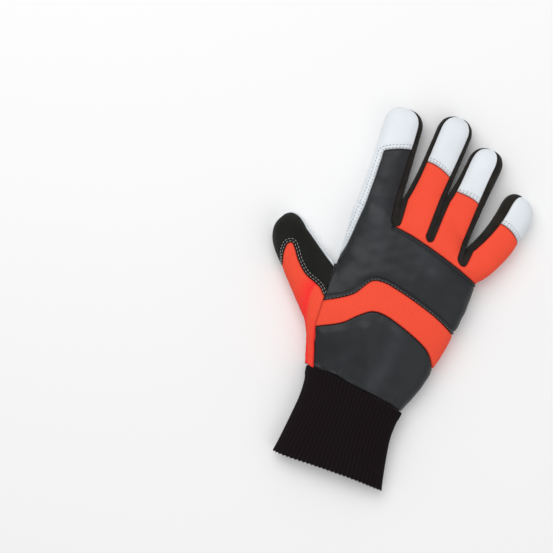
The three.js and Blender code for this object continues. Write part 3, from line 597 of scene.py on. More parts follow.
def ripple(at, wavelength, seed):
    """Nine sine waves with directions, lengths and phases from a seed, about -1 to 1 in all."""
    rng = np.random.default_rng(seed)
    ahead = rng.normal(size=(9, 3))
    ahead /= np.linalg.norm(ahead, axis=1, keepdims=True)
    ahead *= 2 * math.pi / (wavelength * rng.uniform(0.7, 1.5, (9, 1)))
    phase = rng.uniform(0, 2 * math.pi, 9)
    return np.sin(at @ ahead.T + phase).sum(1) / 3.5


def away(at, line, step=0.8):
    """Distance of each place from a line, by the nearest of close points on it."""
    points = resample(np.asarray(line, float), step)[0].astype(np.float32)
    found = np.empty(len(at))
    for start in range(0, len(at), 4000):
        part = at[start:start + 4000].astype(np.float32)
        found[start:start + 4000] = np.sqrt(((part[:, None] - points) ** 2).sum(2).min(1))
    return found


def valley(at, lines, width):
    """A soft groove along each line of the plan: exp of minus the distance squared."""
    depth = np.zeros(len(at))
    for line in lines:
        points = np.array(line, float)
        for a, b in zip(points[:-1], points[1:]):
            run = b - a
            size = np.hypot(*run)
            share = clamp(((at[:, :2] - a) @ run) / size ** 2)
            gap = np.hypot(*(at[:, :2] - (a + share[:, None] * run)).T)
            depth = np.maximum(depth, np.exp(-(gap / width) ** 2))
    return depth


def sewn(wall, depth, width, swell, pucker, seed, rows=(), more=0.0, keep=1.0):
    """Edges rolled into the seam, a slight swell inside them, and puckers that die away from them.
    Each stitched row sinks a little; more is added to the height, and keep weakens the roll."""
    # shown carries the painted seam shade: where keep is low, places read as farther from the edge, so the
    # painted shade fades with the roll
    wall.shown = wall.edge + 1.5 * (1 - keep)
    wall.draw_in(0.02 + 0.18 * np.broadcast_to(keep, wall.edge.shape) ** 2)
    edge = wall.edge
    shape = roll(edge, width, depth) * keep + swell * (smooth(edge / 7) - 1) + more
    for row in rows:
        shape = shape - 0.28 * np.exp(-(away(wall.at, row) / 0.9) ** 2)
    shape += pucker * ripple(wall.near, 6.5, seed) * np.exp(-edge / 5) * smooth(edge / 1.5)
    shape += 0.5 * pucker * ripple(wall.at, 17, seed + 1) * smooth(edge / 4)
    wall.push(shape)
    return wall


# Meshes and pieces


def make_mesh(name, at, faces, uv=None, **values):
    """A mesh from whole arrays of places, faces and attributes."""
    mesh = bpy.data.meshes.new(name)
    mesh.vertices.add(len(at))
    mesh.vertices.foreach_set("co", np.ascontiguousarray(at, np.float32).ravel())
    loops = np.concatenate([f.ravel() for f in faces]).astype(np.int32)
    sizes = np.concatenate([np.full(len(f), f.shape[1]) for f in faces])
    starts = np.concatenate(([0], np.cumsum(sizes)[:-1])).astype(np.int32)
    mesh.loops.add(len(loops))
    mesh.loops.foreach_set("vertex_index", loops)
    mesh.polygons.add(len(sizes))
    mesh.polygons.foreach_set("loop_start", starts)
    mesh.polygons.foreach_set("use_smooth", np.ones(len(sizes), bool))
    if uv is not None:
        layer = mesh.uv_layers.new(name="surface")
        layer.data.foreach_set("uv", np.ascontiguousarray(uv, np.float32).ravel())
    for label, value in values.items():
        mesh.attributes.new(label, "FLOAT", "POINT").data.foreach_set(
            "value", np.ascontiguousarray(value, np.float32))
    mesh.update(calc_edges=True)
    mesh.validate()
    return mesh


def to_frame(at):
    """From the drawing's millimetres to the frame's metres, never below the ground."""
    at = (at + SHIFT) / 1000
    at[:, 2] = np.maximum(at[:, 2], 0.0)
    return at


WALLS = {}


def inner_face(wall, thickness):
    """Places of the wall's inner side: straight in by the thickness, which thins out in the last 2 mm."""
    thin = mix(0.3, 1.0, smooth(wall.edge / 2.0)) * np.minimum(1.0, wall.room() / thickness)
    return wall.at - wall.out * (thickness * thin)[:, None]


def add_wall(name, wall, thickness, material, slot, *nodes):
    """A wall as a closed shell: its outer face, its inner face and the rim between them."""
    size = len(wall.at)
    at = to_frame(np.concatenate((wall.at, inner_face(wall, thickness))))
    a, b = wall.rim[:, 0], wall.rim[:, 1]
    rim = np.stack((b, a, a + size, b + size), -1)
    faces = wall.faces + [f[:, ::-1] + size for f in wall.faces] + [rim]
    inner_uv, start = [], 0
    for face in wall.faces:
        part = wall.uv[start:start + face.size].reshape(len(face), face.shape[1], 2)
        inner_uv.append(part[:, ::-1].reshape(-1, 2))
        start += face.size
    uv = np.concatenate([wall.uv, *inner_uv, np.zeros((rim.size, 2))])
    # The edge attribute sets the painted seam shade, and the shade attribute sets painted highlights on the
    # dark leather and painted shade on the orange cloth
    mesh = make_mesh(name, at, faces, uv, edge=np.tile(wall.shown, 2), shade=np.tile(wall.shade, 2))
    mesh.materials.append(material)
    piece = link(name, mesh)
    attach(piece, "root")
    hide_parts(*nodes)
    WALLS[name] = wall
    return piece


def link(name, data):
    """A new object in the scene's own collection."""
    made = bpy.data.objects.new(name, data)
    bpy.context.scene.collection.objects.link(made)
    return made


def remove_old(*names):
    """Takes away what an operator made before, so that it can run again."""
    for name in names:
        old = bpy.data.objects.get(name)
        if old is not None:
            bpy.data.objects.remove(old)


# Materials


class Paint:
    """A material with one Principled shader, and short ways to add nodes to it."""

    def __init__(self, name):
        self.material = bpy.data.materials.new(name)
        self.material.use_nodes = True
        self.nodes = self.material.node_tree.nodes
        self.links = self.material.node_tree.links
        self.shader = self.nodes["Principled BSDF"]

    def set(self, **values):
        for name, value in values.items():
            self.shader.inputs[name.replace("_", " ")].default_value = value

    def node(self, kind, values=None, **settings):
        node = self.nodes.new("ShaderNode" + kind)
        for name, value in settings.items():
            setattr(node, name, value)
        for name, value in (values or {}).items():
            if isinstance(value, bpy.types.NodeSocket):
                self.links.new(value, node.inputs[name])
            else:
                node.inputs[name].default_value = value
        return node

    def maths(self, operation, a, b=0.0):
        node = self.node("Math", {0: a, 1: b}, operation=operation)
        return node.outputs[0]

    def place(self):
        return self.node("TexCoord").outputs["Object"]

    def surface(self):
        return self.node("UVMap", uv_map="surface").outputs[0]

    def edge(self):
        return self.node("Attribute", attribute_name="edge").outputs["Fac"]

    def shade(self):
        return self.node("Attribute", attribute_name="shade").outputs["Fac"]

    def noise(self, scale, detail=3.0, rough=0.5):
        return self.node("TexNoise", {"Vector": self.place(), "Scale": scale,
                                      "Detail": detail, "Roughness": rough}).outputs["Fac"]

    def cells(self, scale):
        return self.node("TexVoronoi", {"Vector": self.place(), "Scale": scale}).outputs[0]

    def span(self, value, low, high, to_low=0.0, to_high=1.0):
        return self.node("MapRange", {"Value": value, "From Min": low, "From Max": high,
                                      "To Min": to_low, "To Max": to_high}).outputs[0]

    def blend(self, share, a, b):
        node = self.node("Mix", data_type="RGBA")
        for socket, value in zip((node.inputs[0], node.inputs[6], node.inputs[7]), (share, a, b)):
            if isinstance(value, bpy.types.NodeSocket):
                self.links.new(value, socket)
            else:
                socket.default_value = value
        return node.outputs[2]

    def bump(self, height, distance, strength, before=None):
        values = {"Height": height, "Distance": distance, "Strength": strength}
        if before is not None:
            values["Normal"] = before
        return self.node("Bump", values).outputs[0]

    def finish(self, colour, normal=None, roughness=None):
        self.links.new(colour, self.shader.inputs["Base Color"])
        if normal is not None:
            self.links.new(normal, self.shader.inputs["Normal"])
        if roughness is not None:
            self.links.new(roughness, self.shader.inputs["Roughness"])
        return self.material


def tone(colour, share):
    """A colour made lighter or darker by a share."""
    return tuple(c * share for c in colour[:3]) + (1.0,)


def grained_leather(name, colour, roughness, grain, seam_shade, gloss=0.45, change=0.04):
    """Pebbled grain from cells, soft creases from stretched noise, and painted shade in the seams."""
    paint = Paint(name)
    paint.set(Roughness=roughness, Sheen_Weight=0.15 * gloss, Specular_IOR_Level=gloss)
    pebbles = paint.cells(1150)
    fine = paint.noise(2600, 2)
    creases = paint.noise(90, 4, 0.6)
    patchy = paint.noise(28, 3)
    shade = paint.blend(paint.span(patchy, 0.3, 0.7), tone(colour, 1 - change), tone(colour, 1 + change))
    # Painted highlight: where the shade attribute is set, the colour is lightened up to 2.2 times
    shade = paint.blend(paint.shade(), shade, tone(colour, 2.2))
    # Painted shade in the seams: darker towards the wall's edge, down to a quarter of the colour
    shade = paint.blend(paint.span(paint.edge(), 0.0, 1.1, seam_shade, 0.0), shade, tone(colour, 0.25))
    height = paint.maths("ADD", paint.maths("MULTIPLY", pebbles, 0.6), paint.maths("MULTIPLY", fine, 0.4))
    normal = paint.bump(height, 0.00012 * grain, 0.6)
    normal = paint.bump(creases, 0.0012 * grain, 0.25, normal)
    rough = paint.span(patchy, 0.25, 0.75, roughness - 0.05, roughness + 0.07)
    return paint.finish(shade, normal, rough)


def napped_leather(name, colour):
    """Short nap: fine noise in colour and height, and a soft sheen."""
    paint = Paint(name)
    paint.set(Roughness=0.95, Sheen_Weight=0.06, Sheen_Roughness=0.6, Specular_IOR_Level=0.12)
    nap = paint.noise(1900, 4, 0.7)
    cloud = paint.noise(60, 4)
    shade = paint.blend(paint.span(nap, 0.3, 0.7), tone(colour, 0.6), tone(colour, 1.5))
    shade = paint.blend(paint.span(cloud, 0.35, 0.65, 0.0, 0.5), shade, tone(colour, 1.9))
    return paint.finish(shade, paint.bump(nap, 0.0003, 0.8))


# Orange in painted shade where little light gets in, and in painted shadow in the seams
SHADED_ORANGE, SEAM_SHADOW_ORANGE = (0.98, 0.03, 0.03, 1.0), (0.25, 0.004, 0.004, 1.0)


def ribbed_cloth(name, colour, pitch, seam_shade):
    """Fine ribs across the panel, from a sine along its own direction, crossed by a finer thread."""
    paint = Paint(name)
    paint.set(Roughness=0.85, Sheen_Weight=0.1, Sheen_Roughness=0.5, Specular_IOR_Level=0.2,
              Sheen_Tint=tone(colour, 1.0))
    split = paint.node("SeparateXYZ", {0: paint.surface()})
    wander = paint.maths("MULTIPLY", paint.noise(45, 2), pitch * 0.5)
    turn = paint.maths("MULTIPLY", paint.maths("ADD", split.outputs[1], wander), 2 * math.pi / pitch)
    ribs = paint.span(paint.maths("SINE", turn), -1, 1)
    thread = paint.maths("SINE", paint.maths("MULTIPLY", split.outputs[0], 2 * math.pi / (pitch * 0.6)))
    patchy = paint.noise(30, 3)
    # Painted shade in the grooves between the ribs, lighter on their crowns
    shade = paint.blend(ribs, tone(colour, 0.82), tone(colour, 1.03))
    shade = paint.blend(paint.span(patchy, 0.3, 0.7, 0.0, 0.35), shade, tone(colour, 0.82))
    # Painted shade beside the gusset's fold and beside the lower patch, from the shade attribute
    shade = paint.blend(paint.shade(), shade, SHADED_ORANGE)
    # Painted shadow in the seams, from the edge attribute
    shade = paint.blend(paint.span(paint.edge(), 0.0, 1.4, seam_shade, 0.0), shade, SEAM_SHADOW_ORANGE)
    height = paint.maths("ADD", ribs, paint.maths("MULTIPLY", thread, 0.12))
    return paint.finish(shade, paint.bump(height, 0.00022, 0.8))


def fine_cloth(name, colour):
    """Close weave from two crossed sines."""
    paint = Paint(name)
    paint.set(Roughness=0.9, Sheen_Weight=0.08, Specular_IOR_Level=0.15)
    split = paint.node("SeparateXYZ", {0: paint.surface()})
    waves = [paint.maths("SINE", paint.maths("MULTIPLY", split.outputs[k], 2 * math.pi / 0.0008))
             for k in (0, 1)]
    weave = paint.maths("MULTIPLY", *waves)
    cloud = paint.noise(120, 4)
    shade = paint.blend(paint.span(cloud, 0.3, 0.7), tone(colour, 0.7), tone(colour, 1.35))
    return paint.finish(shade, paint.bump(weave, 0.00015, 0.7))


def knit_yarn(name, colour):
    """Loops along each rib: a slanted sine on both sides of the rib's middle."""
    paint = Paint(name)
    paint.set(Roughness=0.95, Sheen_Weight=0.04, Sheen_Roughness=0.6, Specular_IOR_Level=0.1)
    split = paint.node("SeparateXYZ", {0: paint.surface()})
    rib = paint.maths("PINGPONG", split.outputs[0], 0.5)
    lean = paint.maths("ADD", paint.maths("MULTIPLY", split.outputs[1], 1 / 0.0013),
                       paint.maths("MULTIPLY", rib, 1.4))
    loops = paint.span(paint.maths("SINE", paint.maths("MULTIPLY", lean, 2 * math.pi)), -1, 1)
    crown = paint.span(rib, 0.05, 0.4)
    fuzz = paint.noise(1500, 3, 0.7)
    # Painted light on the knit: rib crowns lightened and grooves darkened, then painted highlights on the
    # loops
    shade = paint.blend(crown, tone(colour, 0.35), tone(colour, 2.1))
    shade = paint.blend(paint.maths("MULTIPLY", loops, 0.35), shade, tone(colour, 2.2))
    height = paint.maths("ADD", loops, paint.maths("MULTIPLY", fuzz, 0.6))
    return paint.finish(shade, paint.bump(height, 0.0003, 0.7))


def sewing_thread(name, colour):
    """Twisted thread: fine noise in colour and height."""
    paint = Paint(name)
    paint.set(Roughness=0.6, Sheen_Weight=0.2)
    twist = paint.noise(3000, 1)
    shade = paint.blend(paint.span(twist, 0.3, 0.7), tone(colour, 0.8), tone(colour, 1.05))
    return paint.finish(shade, paint.bump(twist, 0.0001, 0.5))


def floor_paint(name, colour):
    """Almost even paint, from broad noise."""
    paint = Paint(name)
    paint.set(Roughness=0.9, Specular_IOR_Level=0.1)
    return paint.finish(paint.blend(paint.noise(3, 2), tone(colour, 0.995), tone(colour, 1.0)))


# Stitches


def settle(points, *walls):
    """Moves places onto the nearest spot of the walls, and gives the way out there."""
    at = np.concatenate([WALLS[name].at for name in walls])
    out = np.concatenate([WALLS[name].normals() for name in walls])
    gap = ((points[:, None] - at[None]) ** 2).sum(2)
    best = np.argsort(gap, axis=1)[:, :4]
    pick = np.take_along_axis(gap, best, 1)
    weight = 1 / (pick + 0.01)
    weight /= weight.sum(1, keepdims=True)
    normal = (out[best] * weight[..., None]).sum(1)
    normal /= np.linalg.norm(normal, axis=1, keepdims=True)
    centre = (at[best] * weight[..., None]).sum(1)
    drop = ((points - centre) * normal).sum(1, keepdims=True)
    return points - drop * normal, normal


def resample(points, pitch):
    """Places a pitch apart along a line, and the line's direction at each."""
    run = np.linalg.norm(np.diff(points, axis=0), axis=1)
    reach = np.concatenate(([0], np.cumsum(run)))
    count = max(2, int(reach[-1] / pitch))
    marks = (np.arange(count) + 0.5) * reach[-1] / count
    at = np.stack([np.interp(marks, reach, points[:, k]) for k in range(3)], -1)
    before = np.stack([np.interp(marks - pitch / 3, reach, points[:, k]) for k in range(3)], -1)
    after = np.stack([np.interp(marks + pitch / 3, reach, points[:, k]) for k in range(3)], -1)
    ahead = after - before
    return at, ahead / np.linalg.norm(ahead, axis=1, keepdims=True)


def stitch_places(lines, walls, pitch, length, thread):
    """Spindles along lines: five rings of six places, arched so that both ends sink into the leather."""
    at, ahead = (np.concatenate(v) for v in zip(*[resample(np.asarray(line), pitch) for line in lines]))
    at, out = settle(at, *walls)
    ahead -= (ahead * out).sum(1, keepdims=True) * out
    ahead /= np.linalg.norm(ahead, axis=1, keepdims=True)
    side = np.cross(out, ahead)
    t = np.linspace(-1, 1, 5)
    radius = thread / 2 * np.sqrt(1 - 0.85 * t ** 4)
    rise = thread * (0.3 - 0.5 * t ** 2)
    angle = np.arange(6) / 6 * 2 * math.pi
    places = (at[:, None, None] + ahead[:, None, None] * (t * length / 2)[None, :, None, None]
              + out[:, None, None] * (rise[:, None] + radius[:, None] * np.cos(angle))[None, ..., None]
              + side[:, None, None] * (radius[:, None] * np.sin(angle))[None, ..., None])
    count = len(at)
    ids = np.arange(count * 30).reshape(count, 5, 6)
    here, there = ids[:, :-1], ids[:, 1:]
    quads = np.stack((here, there, np.roll(there, -1, 2), np.roll(here, -1, 2)), -1).reshape(-1, 4)
    ends = np.concatenate((ids[:, 0], ids[:, -1, ::-1]))
    return places.reshape(-1, 3), [quads, ends]


def add_stitches(name, groups, material, slot, pitch, length, thread):
    """All rows of one thread as one piece."""
    at, faces, base = [], [[], []], 0
    for lines, walls in groups:
        places, parts = stitch_places(lines, walls, pitch, length, thread)
        at.append(places)
        for kept, part in zip(faces, parts):
            kept.append(part + base)
        base += len(places)
    mesh = make_mesh(name, to_frame(np.concatenate(at)), [np.concatenate(f) for f in faces])
    mesh.materials.append(material)
    piece = link(name, mesh)
    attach(piece, "root")
    return piece


# Panels of the glove

# Levels of the rows along a finger: in the web on the back and on the palm side, on the shaft, round the tip
WEB = np.concatenate((np.linspace(0, 0.3, 22), np.linspace(0.3, 1, 14)[1:]))
WEB_UNDER = mix(WEB_START, 1.0, spaced(20))
SHAFT = np.linspace(1, 2, 46)
ROUND = 2 + slowing(20)
STRIP_ACROSS = -1 + 2 * INDEX.band_left / INDEX.width
STRIP_KNUCKLE = mix(INDEX.start, INDEX.end, (1 + STRIP_ACROSS) / 2)


def strip_edge(step):
    """Edge of the index finger's outer strip on the back: opens from the palm's edge in a line."""
    return -1 + (STRIP_KNUCKLE + 1) * clamp((step - STRIP_START) / (1 - STRIP_START))


def under_finger(finger, across):
    """A place across the palm, given as one across a finger."""
    return (across - finger.start) / (finger.end - finger.start) * 2 - 1


def band_step(column, across):
    """Step of the orange band's lower or upper edge, level past the hand's side."""
    return look_up(BAND, column, np.minimum(across, 1.0))


def seam_rows(finger, across, cap):
    """Levels from the web up to the cap's seam, or for a cap from the seam to where the tip starts."""
    seam = finger.cap(across)
    share = np.linspace(0, 1, 22 if cap else 34)[:, None]
    return mix(seam, 2.0, share) if cap else mix(1.0, seam, share)


def late_rows(finger, across):
    """Levels after the web's last: to the cap's seam, on to where the tip starts and round the tip."""
    return np.concatenate((seam_rows(finger, across, False)[1:], seam_rows(finger, across, True)[1:],
                           level_rows(ROUND[1:], len(across))))


def finger_edges(finger, level):
    """Both edges of what covers a finger's back, which lies between its side strips."""
    left, right = -back_edge(finger, -1, level), back_edge(finger, 1, level)
    if finger is INDEX:
        left = np.full_like(level, STRIP_ACROSS)
    if finger is LITTLE:
        right = 1 + little_wrap(level)
    return left, right


def between_strips(finger, shares, cap):
    """A finger's back between its side strips: up to the cap's seam, or from it to where the tip starts."""
    edges = []
    for number, edge in enumerate(finger_edges(finger, np.array(1.0))):
        level = seam_rows(finger, np.array([float(edge)]), cap)[:, 0]
        edges.append(finger_edges(finger, level)[number])
    across = columns(*edges, shares)
    return across, seam_rows(finger, across, cap)


def shaft_grid(finger, shares, from_palm=True):
    """Cloth or leather back of a finger up to the cap's seam, from the knuckles or from the seam below."""
    low = columns(*finger_edges(finger, WEB), shares)
    high, along = between_strips(finger, shares, False)
    across = np.concatenate((low, high[1:]))
    along = np.concatenate((level_rows(WEB, len(shares)), along[1:]))
    if from_palm:
        knuckle = mix(finger.start, finger.end, (1 + low[0]) / 2)
        palm = np.linspace(-1, 0, 6)[:-1, None] * (1 - knuckle_seam(knuckle))
        across = np.concatenate((np.broadcast_to(low[0], palm.shape), across))
        along = np.concatenate((palm, along))
    return across, along


def cap_grid(finger, shares):
    """Leather over a fingertip's back, from the cap's seam to the tip's end."""
    across, along = between_strips(finger, shares, True)
    tip = columns(*finger_edges(finger, ROUND[1:]), shares)
    return np.concatenate((across, tip)), np.concatenate((along, level_rows(ROUND[1:], len(shares))))


def make_upper_patch():
    """Two grids up from the band: to the knuckles' seam, and on up the index finger's back."""
    shares = spaced(34)
    own = columns(np.array([STRIP_ACROSS]), np.array([1.0]), shares)[0]
    knuckles = [mix(INDEX.start, INDEX.end, (1 + own) / 2),
                columns(np.array([INDEX.end]), np.array([1 + BACK_WRAP]), spaced(90, 0.2))[0]]
    corner = knuckle_seam(INDEX.end)
    grids = []
    for number, knuckle in enumerate(knuckles):
        share = (1 - knuckle) / (1 - STRIP_KNUCKLE)
        low = np.where(knuckle > 1, knuckle, mix(1.0, -1.0, share))
        start = band_step(2, low)
        first = mix(start, STRIP_START, spaced(40, 0.3)[:, None])[:-1]
        seam = knuckle_seam(knuckle) if number else np.full_like(knuckle, corner)
        later = mix(STRIP_START, seam, np.linspace(0, 1, 60)[:, None])
        if not number:
            later = np.concatenate((later, mix(seam, 1.0, np.linspace(0, 1, 4)[1:, None])))
        high = np.where(knuckle > 1, knuckle, mix(1.0, strip_edge(later), share))
        across = np.concatenate((np.broadcast_to(low, first.shape), high))
        along = np.concatenate((first, later))
        if number == 1:
            grids.append(grid(palm_block, 1, across, along))
            continue
        shaft_across, shaft_along = shaft_grid(INDEX, shares, False)
        across = np.concatenate((under_finger(INDEX, across), shaft_across[1:]))
        along = np.concatenate((along - 1, shaft_along[1:]))
        grids.append(grid(INDEX, 1, across, along))
    return Wall(grids)


def side_strip(step):
    """Where the orange side strip ends on the back: it widens towards the wrist."""
    return -1 + 0.2 * clamp(1 - step / 0.17) ** 1.5


def make_lower_patch():
    """Straight lines from the bowed wrist to the band, drawn in beside the orange strip."""
    across = columns(np.array([-1.0]), np.array([1 + BACK_WRAP]), spaced(120, 0.2))
    wrist = np.where(across > 1, 0.0, wrist_bow(np.minimum(across, 1.0)) / PALM_LENGTH)
    along = mix(wrist, band_step(1, across), spaced(70, 0.3)[:, None])
    share = (1 - across) / 2
    return Wall([grid(palm_block, 1, np.where(across > 1, across, mix(1.0, side_strip(along), share)),
                      along)])


def make_orange_band():
    """Straight lines from the band's lower edge to its upper one."""
    across = columns(np.array([-1.0]), np.array([1 + BACK_WRAP]), spaced(140, 0.2))
    along = mix(band_step(1, across), band_step(2, across), spaced(36, 0.4)[:, None])
    return Wall([grid(palm_block, 1, across, along)])


def make_finger_backs():
    """Three fingers' backs that meet along the knuckles."""
    return Wall([grid(finger, 1, *shaft_grid(finger, spaced(30))) for finger in FINGERS[1:]])


def make_cap(finger):
    """A fingertip's leather, from the cap's seam to the tip's end."""
    return Wall([grid(finger, 1, *cap_grid(finger, spaced(34)))])


def make_fourchette(left, right):
    """Strips up both sides of a web, joined below the crotch."""
    grids = []
    for finger, side in ((left, 1), (right, -1)):
        after = np.concatenate((SHAFT[1:], ROUND[1:]))
        for face, web in ((1, mix(finger.opens[side][0], 1.0, WEB)), (-1, WEB_UNDER)):
            level = np.concatenate((web, after))
            edge = back_edge(finger, side, level) if face > 0 else palm_edge(level)
            across = side * columns(edge, np.ones_like(edge), np.linspace(0, 1, 8))
            grids.append(grid(finger, face, across, level[:, None]))
    return Wall(grids)


def make_palm_leather():
    """Each finger's palm side, and the outer strip that rolls over the index finger's tip."""
    grids = []
    palm = np.linspace(PAD_TOP - 1, 0, 9)[:-1]
    strip_shares = spaced(10, 0.2)
    for finger in FINGERS:
        low = np.concatenate((palm, [0.0], WEB_UNDER))
        edge = palm_edge(low)
        left = -np.ones_like(low) if finger is INDEX else -edge
        right = 1 - little_wrap(np.maximum(low, 0.0)) if finger is LITTLE else edge
        across = columns(left, right, spaced(30, 0.3))
        if finger is INDEX:
            late = late_rows(finger, across[-1])
        else:
            late = level_rows(np.concatenate((SHAFT[1:], ROUND[1:])), across.shape[1])
        if finger is LITTLE:
            level = late[:, 0]
            across = np.concatenate((across, columns(np.full_like(level, -palm_edge(1.0)),
                                                     1 - little_wrap(level), spaced(30, 0.3))))
        else:
            across = np.concatenate((across, np.broadcast_to(across[-1], late.shape)))
        along = np.concatenate((level_rows(low, across.shape[1]), late))
        grids.append(grid(finger, -1, across, along))

    own = columns(np.array([-1.0]), np.array([STRIP_ACROSS]), strip_shares)[0]
    low = np.concatenate(([0.0], WEB_UNDER))
    along = np.concatenate((level_rows(low, len(own)), late_rows(INDEX, own)))
    grids.append(grid(INDEX, 1, np.broadcast_to(own, along.shape), along))
    grids.append(grid(INDEX, 1, *cap_grid(INDEX, spaced(32))))

    shares = (own + 1) / (STRIP_ACROSS + 1)
    steps = np.concatenate((np.linspace(STRIP_START, PAD_TOP, 30)[:-1], 1 + palm, [1.0]))
    across = -1 + (strip_edge(steps)[:, None] + 1) * shares
    beside = np.where(steps < PAD_TOP - 1e-9, -1 - PAD_INSET, -1.0)
    across = np.concatenate((beside[:, None], across), axis=1)
    grids.append(grid(palm_block, 1, across, steps[:, None]))
    return Wall(grids)


# x and y of the lines along which painted highlights lighten the dark leather, and of a ridge and a dent in
# the lower patch
UPPER_GLEAMS = (((-42, 62), (-40, 44), (-32, 30)), ((2, 34), (14, 26)))
LOWER_GLEAM = (((3, -24), (5, -48), (-2, -68)),)
WRIST_GLEAM = (((-34, -62), (-26, -52)),)
LOWER_RIDGE = (((-20, -30), (-11, -50), (-5, -70)),)
LOWER_DENT = (((2, -34), (6, -52), (5, -74)),)
# x and y of the nick where the index finger's outer strip leaves the palm, and the height above which
# the palm leather lies on the back of the hand
STRIP_NICK = (((-63, 58.5), (-53, 55)),)
BACK_OF_STRIP = 8
# x and y of the pad's quilted lines and of the two rows below the fingers
QUILT_LINES = (
    ((-58, 28.5), (-30, 25.5), (0, 21), (20, 17), (46, 10)),
    ((-60, 8), (-30, 5), (0, -1), (20, -7), (46, -19)),
    ((-45, -20), (-10, -30), (10, -37), (42, -44)),
    ((-42, -49), (-20, -56), (10, -64), (32, -72)),
)
PAD_LINES = (
    ((-60, 52), (-50, 50.2), (-30, 47.2), (0, 42.7), (20, 40.2), (48, 31)),
    ((-60, 49.7), (-50, 47.9), (-30, 44.9), (0, 40.4), (20, 37.9), (48, 28.7)),
)


def pad_left(step):
    """The pad's edge: the thumb's seam from its table, then a straight line."""
    return np.where(step > CROTCH_STEP, PAD_INSET - 1, look_up(PAD_SEAM, 1, step))


def make_pad():
    """The palm's under side from the wrist to below the fingers, pushed out by the padding."""
    step = spaced(150, 0.2) * PAD_TOP
    across = columns(pad_left(step), np.full_like(step, 1 - BACK_WRAP), spaced(130, 0.2))
    wall = Wall([grid(palm_block, -1, across, step[:, None])])
    wall.push(np.full(len(wall.at), PAD_PROUD))
    return wall


def peak(step):
    """Falls from 1 to 0 over the top of the orange panel, by a quarter circle."""
    return np.sqrt(1 - clamp((step - PEAK_START) / (THUMB_TIP_START - PEAK_START)) ** 2)


def thumb_seam(step):
    """The table's seam between orange and dark, led to the top of the orange panel."""
    return mix(PEAK_ACROSS, look_up(THUMB_SEAM, 1, step), peak(step))


def gusset_edge(step):
    """The table's outer edge of the orange, led to the same place."""
    return mix(PEAK_ACROSS, look_up(THUMB_SEAM, 2, step), peak(step))


# Steps up the thumb's shaft and round its tip, closer together where they turn
THUMB_STEPS = np.concatenate((np.linspace(0, PEAK_START, 84)[:-1],
                              mix(PEAK_START, THUMB_TIP_START, slowing(12))))
THUMB_ROUND = mix(THUMB_TIP_START, 1.0, slowing(26))

# y and x of the fold that runs down the orange gusset
FOLD = ((-70, -52), (-56, -57), (-40, -64), (-30, -66.5), (-20, -67.5), (-12, -66), (-5, -60), (10, -50))


def make_thumb_gusset():
    """Cloth up the thumb's outer side, wrapped round it, and the strip along the back."""
    edge = gusset_edge(THUMB_STEPS)
    over = columns(np.maximum(edge, -1.0), thumb_seam(THUMB_STEPS), spaced(74, 0.2))
    wrapped = columns(edge, np.maximum(edge, -1.0), np.linspace(0, 1, 12))[:, :-1]
    across = np.concatenate((wrapped, over), axis=1)
    steps = CROTCH_STEP * (1 + over[0]) / 2
    strip = mix(-1.0, side_strip(steps)[:, None], np.linspace(0, 1, 7))
    return Wall([grid(thumb_block, 1, across, THUMB_STEPS[:, None], THUMB_AHEAD),
                 grid(palm_block, 1, strip, steps[:, None])])


def fold_side(at):
    """How far a place lies to the thumb's side of the fold, in millimetres."""
    return look_up(FOLD, 1, at[:, 1]) - at[:, 0]


def near_root(at):
    """1 beside the seam where the thumb leaves the hand, fading out in 6 mm."""
    low, high = thumb_line_ends()
    return np.exp(-(away(at, np.stack((low, high))) / 6) ** 2)


def thumb_line_ends():
    """Lower and upper end of the seam beside the thumb's root."""
    return palm_line(-1.0, 0.44), palm_line(-1.0, CROTCH_STEP)


# Rows that are stitched, and the panels of thumb, wrist and cuff


def palm_line(across, step, face=1):
    """A line of places on the palm block."""
    return surface(palm_block, face, np.asarray(across, float), np.asarray(step, float))


def index_row(gap):
    """Up the outer strip at a gap from its edge, round the corner and along the cap's seam."""
    width = 2 * gap / INDEX.width
    step = np.linspace(STRIP_START + 0.08 + gap * 0.02, 1, 40)
    low = under_finger(INDEX, strip_edge(step) - 2 * gap / PALM_WIDTH)
    corner = float(INDEX.cap(np.array(STRIP_ACROSS)))
    level = np.linspace(0.02, corner - 0.02, 60)
    lift = gap / INDEX.level_size()
    over = np.linspace(STRIP_ACROSS + 0.02, back_edge(INDEX, 1, np.array(1.0)) - 0.03, 40)
    across = np.concatenate((low, np.full(60, STRIP_ACROSS - width), [STRIP_ACROSS - 0.6 * width], over))
    along = np.concatenate((step - 1, level, [corner + 0.6 * lift], INDEX.cap(over) + lift))
    return hand(INDEX, 1, across, along)


def cap_row(finger, gap):
    """Across a fingertip, at a gap above the cap's seam."""
    left, right = (float(v) for v in finger_edges(finger, np.array(1.0)))
    over = np.linspace(left + 0.04, min(right, 1.0) - 0.04, 50)
    return hand(finger, 1, over, finger.cap(over) + gap / finger.level_size())


def thumb_row(gap):
    """Up the orange panel's inner seam, over its peak and down its outer side, at a gap outside it."""
    up, down = THUMB_STEPS[THUMB_STEPS > 0.03], THUMB_STEPS[THUMB_STEPS > 0.68][::-1]
    across = np.concatenate((thumb_seam(up), gusset_edge(down)[1:]))
    line = surface(thumb_block, 1, across, np.concatenate((up, down[1:])))
    line = resample(line, 0.7)[0]
    ahead = np.gradient(line[:, :2], axis=0)
    ahead /= np.linalg.norm(ahead, axis=1, keepdims=True)
    line[:, :2] += gap * np.column_stack((ahead[:, 1], -ahead[:, 0]))
    return line


def patch_row(gap, low=-0.97, high=1.06):
    """Along the upper patch's lower seam, at a gap above it."""
    over = np.linspace(low, high, 120)
    return palm_line(over, band_step(2, over) + gap / BACK_LENGTH)


def on_pad(line):
    """A line of the plan laid under the pad."""
    return resample(np.column_stack((np.array(line, float), np.full(len(line), 0.2))), 1.0)[0]


def pad_thumb_row(gap):
    """Along the seam between pad and thumb, at a gap inside it."""
    step = np.linspace(0.02, CROTCH_STEP - 0.01, 60)
    return palm_line(pad_left(step) + 2 * gap / PALM_WIDTH, step, -1)


